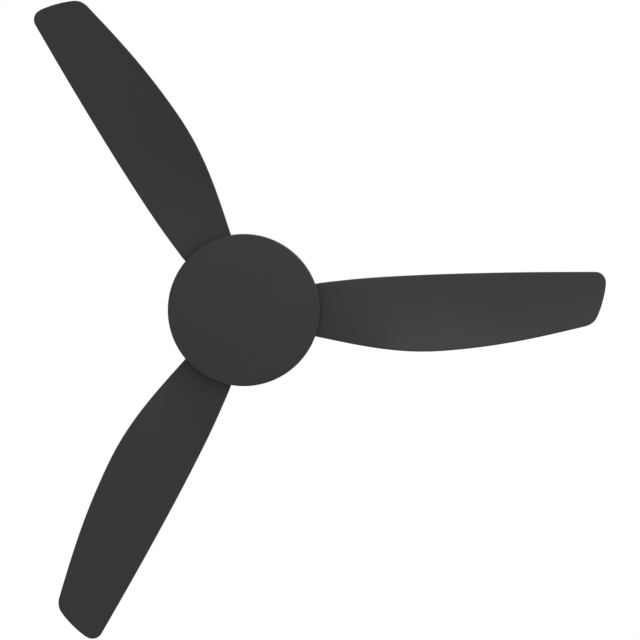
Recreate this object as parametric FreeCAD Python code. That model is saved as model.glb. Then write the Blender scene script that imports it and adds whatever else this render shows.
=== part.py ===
# Three-blade ceiling fan with a moulded blade set, a permanent-magnet outer-rotor motor and a closed cover
# where a lamp can be fitted. Millimetres. The origin is the middle of the bracket's ceiling face, +Z points
# up into the ceiling, and the fan hangs down -Z from it, on its own axis. Blade 1 points along +X.
import FreeCAD
import Part
import math
import os
from FreeCAD import Vector

# ---------------------------------------------------------------- driving dimensions

# Overall
sweep_diameter = 1320.0
cover_diameter = 276.0
rod_length = 150.0

# Clearances used all over the fan
running_gap = 2.0
slip = 0.3
screw_slack = 0.3

# Hanger bracket and what it carries
plate_thickness = 2.5
plate_margin = 10.0
plate_half_width = 38.0
plate_corner = 15.0
leg_half_width = 24.0
mount_spacing_x = 70.0
mount_spacing_y = 56.0
mount_hole_radius = 3.25
cable_hole_radius = 7.0
cable_hole_y = -29.0
tongue_half_width = 12.0
tongue_drop = 16.0
tongue_to_canopy = 1.4
receiver_length = 86.0
receiver_width = 44.0
receiver_height = 18.0
receiver_wall = 2.0
receiver_gap = 1.0
receiver_end_gap = 3.0
receiver_lid_height = 5.4
board_thickness = 1.6
board_post_height = 2.0
board_edge_gap = 0.6
ledge_reach = 6.0
ledge_half_width = 8.0
ledge_thickness = 1.5
terminal_width = 30.0
terminal_height = 16.0
terminal_depth = 14.0
terminal_pitch = 10.0
terminal_wire_radius = 2.2

# Ball joint
ball_radius = 25.0
ball_top_flat = 16.0
ball_bottom_flat = 20.0
seat_clearance = 0.3
seat_wall = 1.75
seat_top_drop = 5.6
cup_top_drop = 7.0
tilt_deg = 15.0
tilt_gap = 0.5
key_half_size = 2.5
key_reach = 3.0
strap_margin = 4.0
rod_swing_gap = 1.5
swing_margin = 3.0

# Downrod, its pins and its lead
rod_diameter = 21.3
rod_wall = 2.0
rod_head = 23.0
pin_radius = 3.0
ball_pin_length = 36.0
ball_pin_rise = 13.0
rod_pin_from_end = 16.0
lead_radius = 1.8
lead_spacing = 4.0
lead_to_pin = 0.3
lead_bend = 8.0
plug_width = 10.0
plug_depth = 8.0
plug_offset = 2.5
plug_in_rod = 6.0
plug_stand_out = 5.5

# Canopy
canopy_room = 10.5
canopy_wall = 1.2
canopy_ceiling_gap = 1.0
ring_to_cup = 0.54
canopy_corner = 24.0
canopy_mouth_radius = 27.0
ring_wall = 1.7
ring_lip = 7.0
ring_lip_height = 2.0
ring_neck_height = 4.0

# Motor yoke and the cover over it
yoke_wall = 8.0
yoke_grip = 38.0
yoke_flange_thickness = 5.0
yoke_boss_wall = 8.5
yoke_boss_length = 12.0
yoke_web = 2.0
coupling_cover_room = 6.0
coupling_cover_height = 56.0
coupling_cover_wall = 2.2
coupling_cover_corner = 13.0
cover_ring_width = 3.0
cover_ring_height = 3.5

# Shaft and bearings
bearing_bore_radius = 8.5
bearing_outer_radius = 17.5
bearing_width = 10.0
bearing_ball_radius = 2.4
bearing_groove_clearance = 0.15
bearing_balls = 9
inner_ring_radius = 11.6
outer_ring_radius = 14.4
cage_wall = 1.8
cage_inset = 1.0
cage_pocket_clearance = 0.1
shaft_middle_radius = 11.0
shaft_bore_radius = 5.0
shaft_window_radius = 2.8
shaft_thread_radius = 7.0
retaining_ring_thickness = 1.0
wave_washer_height = 1.2

# Stator
stator_radius = 60.0
stack_height = 20.0
tooth_count = 12
tooth_width = 9.0
core_ring_radius = 30.0
shoe_depth = 4.0
shoe_half_angle = 12.5
insulator_thickness = 1.0
coil_root_gap = 4.0
coil_shoe_gap = 2.0
coil_gap = 1.1
coil_overhang = 8.5
coil_fit = 0.2

# Rotor
air_gap = 1.0
magnet_count = 14
magnet_thickness = 4.0
magnet_height = 22.0
magnet_spacing_deg = 2.0
flux_ring_thickness = 4.0
flux_ring_height = 26.0
shell_wall = 4.0
shell_plate = 3.5
shell_flange_width = 11.0
shell_flange_thickness = 3.5
bearing_boss_wall = 5.0
bearing_boss_rise = 4.0
bearing_lip = 2.5
coil_clearance = 1.5
case_screws = 6

# Blade carrier
carrier_thickness = 5.0
carrier_bore_gap = 7.5
carrier_skirt_wall = 4.0
carrier_skirt_drop = 9.0
carrier_boss_radius = 4.5
carrier_boss_height = 6.0
carrier_boss_to_stator = 2.5
carrier_screws = 6
blade_gap_half_width = 51.0

# Blades
blade_count = 3
blade_root_thickness = 7.0
blade_middle_thickness = 6.2
blade_edge_thickness = 3.4
blade_gasket_thickness = 1.0
blade_root_to_boss = 15.5
blade_root_half_width = 38.0
blade_root_corner = 12.0
blade_screw_inset = 14.0
blade_screw_outset = 16.0
blade_screw_spread = 30.0
blade_pitch_deg = 12.0
tip_pitch_deg = 8.0
blade_camber = 5.0
tip_camber = 3.0
tip_lead_corner = 19.0
tip_trail_corner = 31.0
loft_margin = 6.0
# Share of the span from the cover's edge to the tip, then how far the leading and the trailing edge stand
# from the blade's radial line.
blade_widths = (
    (0.00, 49.5, 49.6),
    (0.13, 57.0, 63.3),
    (0.26, 61.7, 73.0),
    (0.37, 64.5, 75.4),
    (0.49, 66.6, 71.3),
    (0.64, 68.4, 61.0),
    (0.78, 69.3, 46.9),
)
# The tip's leading corner, middle and trailing corner: how far inside the sweep, and the offset from the
# blade's radial line, positive towards the trailing edge.
tip_lead = (1.2, -69.6)
tip_middle = (5.5, -26.5)
tip_trail = (25.5, 26.0)

# Motor housing
housing_inset = 4.0
housing_wall = 2.5
housing_top_radius = 48.0
housing_shoulder = 34.0
housing_bottom_corner = 20.0
vent_count = 18
vent_length = 20.0
vent_width = 3.2
vent_circle = 62.0
skirt_inset = 6.0

# Cover at the bottom and the plate that holds it
cover_wall = 2.5
cover_height = 20.0
cover_edge_round = 3.0
cover_crown = 6.0
cover_gap = 5.0
plate_to_screws = 4.0
light_plate_inset = 14.0
light_plate_thickness = 1.5
light_plate_vent_radius = 7.0
light_plate_vent_inset = 40.0
hook_count = 3
hook_reach = 7.0
hook_thickness = 2.1
hook_width_deg = 10.0
hook_wall = 3.0
hook_slack = 0.4
notch_width_deg = 13.0
twist_deg = 15.0
connector_width = 16.0
connector_depth = 10.0
connector_wall = 2.5
connector_drop = 3.0
connector_x = -44.0

# Fasteners: thread radius, head radius, head height
SMALL_SCREW = (2.0, 4.0, 2.4)
BLADE_SCREW = (2.5, 5.5, 3.2)
GRUB_RADIUS = 2.5
grub_length = 8.0
canopy_screw_length = 9.0
earth_screw_length = 6.0
flange_screw_count = 4
flange_screw_to_collar = 6.35
flange_screw_margin = 6.0
flange_screw_length = 10.0

# ---------------------------------------------------------------- levels and radii worked out from them

rod_radius = rod_diameter / 2
rod_bore_radius = rod_radius - rod_wall
receiver_top = -plate_thickness - receiver_gap
receiver_bottom = receiver_top - receiver_height
leg_inner = receiver_length / 2 + receiver_end_gap
plate_half_length = leg_inner + plate_margin
terminal_face_x = leg_inner + plate_thickness + terminal_depth
plug_corner = math.hypot(plug_width / 2, plug_depth / 2 + plug_offset)
head_reach = math.hypot(rod_head + plug_stand_out, plug_corner)
ball_z = receiver_bottom - swing_margin - head_reach
seat_inner = ball_radius + seat_clearance
seat_outer = seat_inner + seat_wall
cup_inner = seat_outer + seat_clearance
cup_outer = cup_inner + plate_thickness
strap_top = ball_z - cup_top_drop
tilt = math.radians(tilt_deg)
corner_tilt = math.acos(math.cos(tilt) ** 2)
seat_bottom_drop = seat_inner * math.cos(math.asin((rod_radius + tilt_gap) / seat_inner) + tilt)
cup_bottom_drop = cup_inner * math.cos(math.asin((rod_radius + tilt_gap) / cup_inner) + corner_tilt)
key_groove_half_width = key_half_size * (math.cos(tilt) + math.sin(tilt)) + tilt_gap
key_groove_floor = (ball_radius - key_reach) * math.cos(tilt) - key_half_size * math.sin(tilt) - tilt_gap
wiring_z = (receiver_bottom + strap_top) / 2
receiver_split = receiver_top - receiver_lid_height
board_bottom = receiver_bottom + receiver_wall + board_post_height

ball_pin_z = ball_z + ball_pin_rise
rod_top = ball_z + rod_head
rod_bottom = rod_top - rod_length
clevis_z = rod_bottom + rod_pin_from_end
canopy_top = -canopy_ceiling_gap
canopy_bottom = ball_z - cup_bottom_drop - ring_to_cup - ring_neck_height
canopy_inner = math.hypot(terminal_face_x, terminal_width / 2) + canopy_room
canopy_radius = canopy_inner + canopy_wall
canopy_screw_z = -tongue_drop / 2
tongue_end = canopy_inner - tongue_to_canopy

yoke_floor = rod_bottom - 1.0
yoke_outer = rod_radius + yoke_wall
yoke_top = rod_bottom + yoke_grip
set_screw_z = (yoke_top + clevis_z) / 2
flange_screw_circle = yoke_outer + flange_screw_to_collar
yoke_flange_radius = flange_screw_circle + flange_screw_margin
coupling_cover_radius = yoke_flange_radius + coupling_cover_room
flange_top = yoke_floor + yoke_web
flange_bottom = flange_top - yoke_flange_thickness
shaft_top = yoke_floor - yoke_web
boss_radius = bearing_bore_radius + yoke_boss_wall
boss_bottom = flange_bottom - yoke_boss_length
grub_z = (flange_bottom + boss_bottom) / 2

ball_pitch_radius = (inner_ring_radius + outer_ring_radius) / 2
rotor_top = boss_bottom - running_gap
upper_bearing_top = rotor_top - bearing_lip - wave_washer_height
upper_bearing_bottom = upper_bearing_top - bearing_width
shell_top_outside = upper_bearing_top - bearing_boss_rise
shell_top_inside = shell_top_outside - shell_plate
coil_top = shell_top_inside - coil_clearance
stack_top = coil_top - coil_overhang
stack_bottom = stack_top - stack_height
stack_middle = (stack_top + stack_bottom) / 2
coil_inner_radius = core_ring_radius + coil_root_gap
coil_outer_radius = stator_radius - shoe_depth - coil_shoe_gap
motor_window_z = stack_top + insulator_thickness + shaft_window_radius + 0.4
coil_bottom = stack_bottom - coil_overhang
shell_bottom_inside = coil_bottom - coil_clearance
shell_bottom_outside = shell_bottom_inside - shell_plate
lower_bearing_bottom = shell_bottom_outside - 1.0
lower_bearing_top = lower_bearing_bottom + bearing_width
rotor_bottom = lower_bearing_bottom - bearing_lip
shell_inner = stator_radius + air_gap + magnet_thickness + flux_ring_thickness
shell_outer = shell_inner + shell_wall
bearing_boss_radius = bearing_outer_radius + bearing_boss_wall
flange_outer = shell_outer + shell_flange_width
case_screw_circle = shell_outer + shell_flange_width / 2

carrier_top = shell_bottom_outside
carrier_bore_radius = bearing_boss_radius + carrier_bore_gap
carrier_boss_circle = stator_radius + carrier_boss_to_stator
blade_root_inner = carrier_boss_circle + blade_root_to_boss
carrier_bottom = carrier_top - carrier_thickness
blade_top = carrier_bottom - blade_gasket_thickness
blade_middle = blade_top - blade_root_thickness / 2
blade_bottom = blade_top - blade_root_thickness
skirt_bottom = carrier_bottom - carrier_skirt_drop
blade_screw_bottom = blade_bottom - BLADE_SCREW[2]

tip_radius = sweep_diameter / 2
cover_radius = cover_diameter / 2
housing_radius = cover_radius - housing_inset
carrier_radius = housing_radius - skirt_inset
blade_screw_places = (
    (blade_root_inner + blade_screw_inset, 0.0),
    (carrier_radius - blade_screw_outset, blade_screw_spread),
    (carrier_radius - blade_screw_outset, -blade_screw_spread),
)
housing_bottom = carrier_bottom + 3.0
housing_top = flange_bottom
cover_top = blade_bottom - cover_gap
cover_bottom = cover_top - cover_height
cover_floor = cover_bottom + cover_wall
crown_radius = (cover_radius ** 2 + cover_crown ** 2) / (2 * cover_crown)
light_plate_radius = cover_radius - light_plate_inset
light_plate_top = blade_screw_bottom - plate_to_screws
light_plate_bottom = light_plate_top - light_plate_thickness
connector_top = light_plate_top + 1.5
lamp_window_z = (rotor_bottom + light_plate_top) / 2
coupling_cover_bottom = housing_top
coupling_cover_top = coupling_cover_bottom + coupling_cover_height
hook_inner = light_plate_radius + 1.0
hook_top = light_plate_top + hook_slack + hook_thickness


# ---------------------------------------------------------------- small helpers


def rounded_path(points, radii, closed):
    """Wire through the points, with a tangent arc wherever the radius is not zero."""
    count = len(points)
    edges = []
    ends = []
    for i, here in enumerate(points):
        if radii[i] == 0:
            ends.append((here, here))
            continue
        to_last = (points[i - 1] - here).normalize()
        to_next = (points[(i + 1) % count] - here).normalize()
        half = to_last.getAngle(to_next) / 2
        reach = radii[i] / math.tan(half)
        start = here + to_last * reach
        stop = here + to_next * reach
        inward = (to_last + to_next).normalize()
        middle = here + inward * (radii[i] / math.sin(half) - radii[i])
        edges.append(Part.Arc(start, middle, stop).toShape())
        ends.append((start, stop))
    for i in range(count if closed else count - 1):
        a = ends[i][1]
        b = ends[(i + 1) % count][0]
        if (a - b).Length > 1e-6:
            edges.append(Part.LineSegment(a, b).toShape())
    return Part.Wire(Part.__sortEdges__(edges))


def turned(corners):
    """Solid of revolution about the fan's axis from (radius, z, corner radius) points."""
    points = [Vector(radius, 0, z) for radius, z, _ in corners]
    wire = rounded_path(points, [corner for _, _, corner in corners], True)
    return Part.Face(wire).revolve(Vector(0, 0, 0), Vector(0, 0, 1), 360)


def tube(outer, inner, bottom, top):
    """Plain ring about the fan's axis."""
    ring = Part.makeCylinder(outer, top - bottom, Vector(0, 0, bottom))
    return ring.cut(Part.makeCylinder(inner, top - bottom, Vector(0, 0, bottom)))


def cylinder(radius, bottom, top, x=0.0, y=0.0):
    return Part.makeCylinder(radius, top - bottom, Vector(x, y, bottom))


def rod_between(radius, start, end):
    """Round bar from one point to another."""
    return Part.makeCylinder(radius, (end - start).Length, start, end - start)


def block(x0, x1, y0, y1, z0, z1):
    return Part.makeBox(x1 - x0, y1 - y0, z1 - z0, Vector(x0, y0, z0))


def plate(corners, bottom, top):
    """Flat plate with rounded corners, from (x, y, corner radius) points."""
    points = [Vector(x, y, bottom) for x, y, _ in corners]
    wire = rounded_path(points, [corner for _, _, corner in corners], True)
    return Part.Face(wire).extrude(Vector(0, 0, top - bottom))


def sector(inner, outer, middle_deg, width_deg, bottom, top):
    """Part of a flat ring, about the fan's axis."""
    piece = Part.makeCylinder(outer, top - bottom, Vector(0, 0, bottom), Vector(0, 0, 1), width_deg)
    piece = piece.cut(cylinder(inner, bottom, top))
    return turn(piece, middle_deg - width_deg / 2)


def turn(shape, angle_deg):
    """Copy of a shape, turned about the fan's axis."""
    copy = shape.copy()
    copy.rotate(Vector(0, 0, 0), Vector(0, 0, 1), angle_deg)
    return copy


def around(shape, count, first_deg=0.0):
    """Copies of a shape, evenly spaced about the fan's axis."""
    return [turn(shape, first_deg + i * 360.0 / count) for i in range(count)]


def screw(kind, seat, direction, length):
    """Round-head screw: the head stands on the seat point, and the thread runs along direction."""
    thread_radius, head_radius, head_height = kind
    along = Vector(direction).normalize()
    thread = Part.makeCylinder(thread_radius, length, seat, along)
    head = Part.makeCylinder(head_radius, head_height, seat, along * -1)
    rim = [e for e in head.Edges if abs(e.CenterOfMass.distanceToPoint(seat) - head_height) < 1e-6]
    head = head.makeFillet(head_height * 0.6, rim)
    socket = Part.makeCylinder(thread_radius * 0.6, head_height * 0.6, seat - along * head_height, along)
    return thread.fuse(head).cut(socket)


def hexagon(across_flats, bottom, top):
    radius = across_flats / 2 / math.cos(math.pi / 6)
    points = [(radius * math.cos(k * math.pi / 3), radius * math.sin(k * math.pi / 3), 0) for k in range(6)]
    return plate(points, bottom, top)


def rectangle(half_x, half_y, corner, x=0.0, y=0.0):
    return [
        (x - half_x, y - half_y, corner),
        (x + half_x, y - half_y, corner),
        (x + half_x, y + half_y, corner),
        (x - half_x, y + half_y, corner),
    ]


# ---------------------------------------------------------------- ceiling side: bracket, receiver, canopy


def hanger_bracket():
    """Pressed steel bracket: ceiling plate, two legs, and a strap with the ball's cup and its key."""
    t = plate_thickness
    top = plate(rectangle(plate_half_length, plate_half_width, plate_corner), -t, 0)
    tongue = block(-tongue_end, tongue_end, -tongue_half_width, tongue_half_width, -t, 0)
    body = top.fuse(tongue)
    leg_bottom = strap_top - t
    for side in (-1, 1):
        leg = block(leg_inner, leg_inner + t, -leg_half_width, leg_half_width, leg_bottom, 0)
        tab = block(tongue_end - t, tongue_end, -tongue_half_width, tongue_half_width, -tongue_drop, 0)
        ledge_x = leg_inner - ledge_reach
        ledge_half = ledge_half_width
        ledge_low = receiver_bottom - ledge_thickness
        ledge = block(ledge_x, leg_inner, -ledge_half, ledge_half, ledge_low, receiver_bottom)
        for piece in (leg, tab, ledge):
            body = body.fuse(piece if side > 0 else turn(piece, 180))
    strap = block(-leg_inner, leg_inner, -leg_half_width, leg_half_width, leg_bottom, strap_top)
    strap = strap.fuse(cylinder(cup_outer + strap_margin, leg_bottom, strap_top))
    cup = Part.makeSphere(cup_outer, Vector(0, 0, ball_z))
    cup_low = ball_z - cup_bottom_drop
    cup = cup.common(cylinder(cup_outer, cup_low, strap_top))
    body = body.fuse(strap).fuse(cup)
    body = body.cut(Part.makeSphere(cup_inner, Vector(0, 0, ball_z)))
    rod_way = rod_radius + rod_swing_gap
    way_out = -cup_outer - strap_margin - 1.0
    body = body.cut(block(-rod_way, rod_way, way_out, 0, cup_low - 1.0, strap_top + 1.0))
    post_inner = seat_outer + rod_swing_gap
    k = key_half_size
    post = block(-k, k, post_inner, post_inner + t, strap_top, ball_z + k)
    finger = block(-k, k, ball_radius - key_reach, post_inner + t, ball_z - k, ball_z + k)
    body = body.fuse(post).fuse(finger)
    for x in (-mount_spacing_x / 2, mount_spacing_x / 2):
        for y in (-mount_spacing_y / 2, mount_spacing_y / 2):
            body = body.cut(cylinder(mount_hole_radius, -t, 0, x, y))
    body = body.cut(cylinder(cable_hole_radius, -t, 0, 0, cable_hole_y))
    body = body.cut(canopy_screw_bores(SMALL_SCREW[0]))
    leg_face = Vector(-leg_inner - t, 0, wiring_z)
    return body.cut(rod_between(SMALL_SCREW[0], leg_face, leg_face + Vector(t, 0, 0))).removeSplitter()


def canopy_screw_bores(radius):
    reach = canopy_radius + 5.0
    bore = rod_between(radius, Vector(-reach, 0, canopy_screw_z), Vector(reach, 0, canopy_screw_z))
    gap = tongue_end - plate_thickness
    return bore.cut(block(-gap, gap, -10, 10, canopy_screw_z - 10, canopy_screw_z + 10))


def receiver_shell(bottom, top, closed_bottom):
    half_x = receiver_length / 2
    half_y = receiver_width / 2
    shell = plate(rectangle(half_x, half_y, 3.0), bottom, top)
    w = receiver_wall
    low = bottom + w if closed_bottom else bottom
    high = top if closed_bottom else top - w
    return shell.cut(plate(rectangle(half_x - w, half_y - w, 1.5), low, high))


def receiver_base():
    """Lower half of the receiver's case, with four posts under its circuit board."""
    base = receiver_shell(receiver_bottom, receiver_split, True)
    floor = receiver_bottom + receiver_wall
    post_x = receiver_length / 2 - 8.0
    post_y = receiver_width / 2 - 8.0
    for x in (-post_x, post_x):
        for y in (-post_y, post_y):
            base = base.fuse(cylinder(2.5, floor, board_bottom, x, y))
    low = board_bottom + board_thickness + 1.0
    slot = block(-3, 3, receiver_width / 2 - receiver_wall, receiver_width / 2, low, low + 3.0)
    return base.cut(slot).cut(turn(slot, 180))


def receiver_lid():
    return receiver_shell(receiver_split, receiver_top, False)


def receiver_board():
    """Circuit board with its capacitor, relay, coil and power chip, as separate solids."""
    top = board_bottom + board_thickness
    half_x = receiver_length / 2 - receiver_wall - board_edge_gap
    half_y = receiver_width / 2 - receiver_wall - board_edge_gap
    board = plate(rectangle(half_x, half_y, 1.0), board_bottom, top)
    ceiling = receiver_top - receiver_wall - 0.5
    capacitor = cylinder(6.0, top, ceiling, -28.0, 6.0)
    relay = block(-14.0, 4.0, -12.0, 2.0, top, ceiling)
    choke = cylinder(6.5, top, top + 7.0, 16.0, 8.0).cut(cylinder(2.5, top, top + 7.0, 16.0, 8.0))
    chip = block(10.0, 28.0, -13.0, -5.0, top, top + 3.0)
    return Part.makeCompound([board, capacitor, relay, choke, chip])


def terminal_ways():
    """Middle of each connector way, on the block's outer face."""
    return [Vector(terminal_face_x, y, wiring_z) for y in (-terminal_pitch, 0.0, terminal_pitch)]


def terminal_block():
    """Three-way connector block on the outside of one leg."""
    x0 = leg_inner + plate_thickness
    x1 = terminal_face_x
    half = terminal_width / 2
    low = wiring_z - terminal_height / 2
    high = wiring_z + terminal_height / 2
    body = block(x0, x1, -half, half, low, high)
    middle_x = (x0 + x1) / 2 - 1.0
    for way in terminal_ways():
        body = body.cut(cylinder(terminal_wire_radius, low, high, middle_x, way.y))
        body = body.cut(rod_between(SMALL_SCREW[0], Vector(middle_x, way.y, way.z), way))
    return body


def terminal_screws():
    """The brass clamp screws, sunk in the connector block."""
    screws = []
    for way in terminal_ways():
        outer = way - Vector(1.5, 0, 0)
        slot = block(outer.x - 0.8, outer.x, way.y - 2, way.y + 2, way.z - 0.4, way.z + 0.4)
        screws.append(rod_between(SMALL_SCREW[0], outer - Vector(4.0, 0, 0), outer).cut(slot))
    return Part.makeCompound(screws)


def earth_screw():
    """Earthing screw on the leg across from the connector block."""
    seat = Vector(-leg_inner - plate_thickness, 0, wiring_z)
    return screw(SMALL_SCREW, seat, Vector(1, 0, 0), earth_screw_length)


def canopy():
    """Thin drawn cup that hides the bracket, with a mouth in its floor for the rod to swing in."""
    r = canopy_radius
    w = canopy_wall
    low = canopy_bottom
    cup = turned(
        [
            (canopy_mouth_radius, low, 0),
            (r, low, canopy_corner),
            (r, canopy_top, 0),
            (r - w, canopy_top, 0),
            (r - w, low + w, canopy_corner - w),
            (canopy_mouth_radius, low + w, 0),
        ]
    )
    return cup.cut(canopy_screw_bores(SMALL_SCREW[0] + screw_slack))


def canopy_screws():
    seat = Vector(canopy_radius, 0, canopy_screw_z)
    one = screw(SMALL_SCREW, seat, Vector(-1, 0, 0), canopy_screw_length)
    return Part.makeCompound(around(one, 2))


def canopy_ring():
    """Trim ring pressed into the canopy's mouth."""
    neck = canopy_mouth_radius
    low = canopy_bottom - ring_lip_height
    inner = neck - ring_wall
    return turned(
        [
            (inner, low, 0.6),
            (neck + ring_lip, low, 0.9),
            (neck + ring_lip, canopy_bottom, 0),
            (neck, canopy_bottom, 0),
            (neck, canopy_bottom + ring_neck_height, 0),
            (inner, canopy_bottom + ring_neck_height, 0.6),
        ]
    )


# ---------------------------------------------------------------- ball joint and downrod


def ball_seat():
    """Nylon liner between the ball and the bracket's cup. It turns about the key with the ball."""
    centre = Vector(0, 0, ball_z)
    shell = Part.makeSphere(seat_outer, centre).cut(Part.makeSphere(seat_inner, centre))
    return shell.common(cylinder(seat_outer, ball_z - seat_bottom_drop, ball_z - seat_top_drop))


def hanger_ball():
    """Ball with a bore for the rod, a groove for the bracket's key and a groove on top for the cross pin."""
    ball = Part.makeSphere(ball_radius, Vector(0, 0, ball_z))
    ball = ball.common(cylinder(ball_radius, ball_z - ball_bottom_flat, ball_z + ball_top_flat))
    ball = ball.cut(cylinder(rod_radius + slip, ball_z - ball_radius, ball_z + ball_radius))
    g = key_groove_half_width
    r = ball_radius
    ball = ball.cut(block(-g, g, key_groove_floor, r, ball_z - r, ball_z + r))
    pin_way = pin_radius + slip / 2
    ball = ball.cut(block(-r, r, -pin_way, pin_way, ball_pin_z, ball_z + r)).cut(pin_bore(r, ball_pin_z))
    return ball.cut(rod_between(GRUB_RADIUS, Vector(0, -rod_radius, ball_z), Vector(0, -r - 1, ball_z)))


def ball_cross_pin():
    half = ball_pin_length / 2
    pin = rod_between(pin_radius, Vector(-half, 0, ball_pin_z), Vector(half, 0, ball_pin_z))
    return pin.makeChamfer(0.6, pin.Edges)


def grub(start, direction, length):
    """Headless set screw with a hexagon socket, from its inner end outwards."""
    along = Vector(direction).normalize()
    body = Part.makeCylinder(GRUB_RADIUS, length, start, along)
    return body.cut(Part.makeCylinder(1.3, 2.5, start + along * (length - 2.5), along))


def ball_set_screw():
    return grub(Vector(0, -rod_radius, ball_z), Vector(0, -1, 0), grub_length)


def pin_bore(reach, z):
    """Bore for a cross pin along X, through everything out to a given reach each way."""
    return rod_between(pin_radius + slip / 2, Vector(-reach, 0, z), Vector(reach, 0, z))


def downrod():
    """Steel tube with a pin hole near each end."""
    rod = tube(rod_radius, rod_bore_radius, rod_bottom, rod_top)
    return rod.cut(pin_bore(rod_radius, ball_pin_z)).cut(pin_bore(rod_radius, clevis_z))


def sheathed_lead(side, window_z, after_window):
    """Lead from the plug, past both pins, down the shaft's bore and out through a window in its side."""
    x = side * lead_spacing / 2
    beside_pin = pin_radius + lead_to_pin + lead_radius
    bend = 4.0
    points = [
        Vector(x, beside_pin, rod_top - plug_in_rod),
        Vector(x, beside_pin, clevis_z - pin_radius - 3.0),
        Vector(x, 0, yoke_floor - 1.0),
        Vector(x, 0, window_z),
    ]
    points += after_window
    radii = [0, lead_bend, lead_bend] + [bend] * (len(points) - 4) + [0]
    path = rounded_path(points, radii, False)
    profile = Part.Wire(Part.makeCircle(lead_radius, points[0], Vector(0, 0, 1)))
    return path.makePipeShell([profile], True, False, 0)


def motor_lead():
    """Lead to the windings: it ends at the inner side of the first coil."""
    return sheathed_lead(1, motor_window_z, [Vector(coil_inner_radius, 0, motor_window_z)])


def lamp_lead():
    """Lead to the lamp socket, under the motor."""
    turn_down = [Vector(connector_x, 0, lamp_window_z), Vector(connector_x, 0, connector_top)]
    return sheathed_lead(-1, lamp_window_z, turn_down)


def lead_plug():
    """Plug that closes the rod's mouth and takes both leads."""
    corners = rectangle(plug_width / 2, plug_depth / 2, 1.5, 0, plug_offset)
    return plate(corners, rod_top - plug_in_rod, rod_top + plug_stand_out)


# ---------------------------------------------------------------- yoke, housing and light plate


def motor_yoke():
    """Cast coupler: a collar for the rod, a flange for the housing and a boss for the shaft."""
    inner = rod_radius + slip
    shaft = bearing_bore_radius
    body = turned(
        [
            (inner, yoke_top, 1.0),
            (yoke_outer, yoke_top, 2.0),
            (yoke_outer, flange_top, 2.0),
            (yoke_flange_radius, flange_top, 1.0),
            (yoke_flange_radius, flange_bottom, 0),
            (boss_radius, flange_bottom, 0),
            (boss_radius, boss_bottom, 1.0),
            (shaft, boss_bottom, 0),
            (shaft, shaft_top, 0),
            (shaft_bore_radius, shaft_top, 0),
            (shaft_bore_radius, yoke_floor, 0),
            (inner, yoke_floor, 0),
        ]
    )
    body = body.cut(pin_bore(yoke_outer, clevis_z))
    for side in (-1, 1):
        outside = Vector(0, side * yoke_outer, set_screw_z)
        body = body.cut(rod_between(GRUB_RADIUS, Vector(0, side * rod_radius, set_screw_z), outside))
    body = body.cut(rod_between(GRUB_RADIUS, Vector(0, shaft, grub_z), Vector(0, boss_radius, grub_z)))
    for x, y in flange_screw_places():
        body = body.cut(cylinder(SMALL_SCREW[0] + screw_slack, flange_bottom, flange_top, x, y))
    return body


def flange_screw_places():
    step = 2 * math.pi / flange_screw_count
    angles = [step * (i + 0.5) for i in range(flange_screw_count)]
    return [(flange_screw_circle * math.cos(a), flange_screw_circle * math.sin(a)) for a in angles]


def yoke_set_screws():
    screws = []
    for side in (-1, 1):
        start = Vector(0, side * rod_radius, set_screw_z)
        screws.append(grub(start, Vector(0, side, 0), yoke_wall + 5.0))
    return Part.makeCompound(screws)


def yoke_lock_nuts():
    nuts = []
    for side in (-1, 1):
        nut = hexagon(8.0, 0, 3.0).cut(cylinder(GRUB_RADIUS, 0, 3.0))
        nut.rotate(Vector(0, 0, 0), Vector(1, 0, 0), -90 * side)
        nut.translate(Vector(0, side * yoke_outer, set_screw_z))
        nuts.append(nut)
    return Part.makeCompound(nuts)


def shaft_grub_screw():
    return grub(Vector(0, bearing_bore_radius, grub_z), Vector(0, 1, 0), yoke_boss_wall - 0.8)


def clevis_clip_x():
    return yoke_outer + 3.0


def clevis_pin():
    """Headed pin through yoke and rod, with a cross hole for its clip."""
    head_seat = Vector(-yoke_outer - 0.2, 0, clevis_z)
    end = Vector(clevis_clip_x() + 3.0, 0, clevis_z)
    pin = rod_between(pin_radius, head_seat, end)
    pin = pin.fuse(Part.makeCylinder(pin_radius + 2.0, 2.0, head_seat, Vector(-1, 0, 0)))
    x = clevis_clip_x()
    return pin.cut(rod_between(1.1, Vector(x, 0, clevis_z - 5), Vector(x, 0, clevis_z + 5)))


def clevis_clip():
    """Spring clip: one straight leg through the pin, and one waved leg that grips its outside."""
    x = clevis_clip_x()
    wire_radius = 0.9
    top = clevis_z + 8.0
    low = clevis_z - 7.0
    loop = 3.2
    straight_end = Vector(x, 0, low)
    straight_top = Vector(x, 0, top)
    loop_top = Vector(x, loop, top + loop)
    wave_top = Vector(x, 2 * loop, top)
    bulge = pin_radius + wire_radius + 0.2
    grip_top = Vector(x, bulge, clevis_z + 3.4)
    grip = Vector(x, bulge + 0.35, clevis_z)
    grip_low = Vector(x, bulge, clevis_z - 3.4)
    edges = [
        Part.LineSegment(straight_end, straight_top).toShape(),
        Part.Arc(straight_top, loop_top, wave_top).toShape(),
        Part.LineSegment(wave_top, grip_top).toShape(),
        Part.Arc(grip_top, grip, grip_low).toShape(),
    ]
    path = Part.Wire(edges)
    profile = Part.Wire(Part.makeCircle(wire_radius, straight_end, Vector(0, 0, 1)))
    return path.makePipeShell([profile], True, False, 2)


def coupling_cover():
    """Cup that hides the yoke and slides on the rod."""
    r = coupling_cover_radius
    w = coupling_cover_wall
    inner = rod_radius + 0.5
    top = coupling_cover_top
    low = coupling_cover_bottom
    return turned(
        [
            (inner, top, 0.5),
            (r - 3.0, top, coupling_cover_corner),
            (r, low, 0),
            (r - w, low, 0),
            (r - 3.0 - w, top - w, coupling_cover_corner - w),
            (inner, top - w, 0),
        ]
    )


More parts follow.
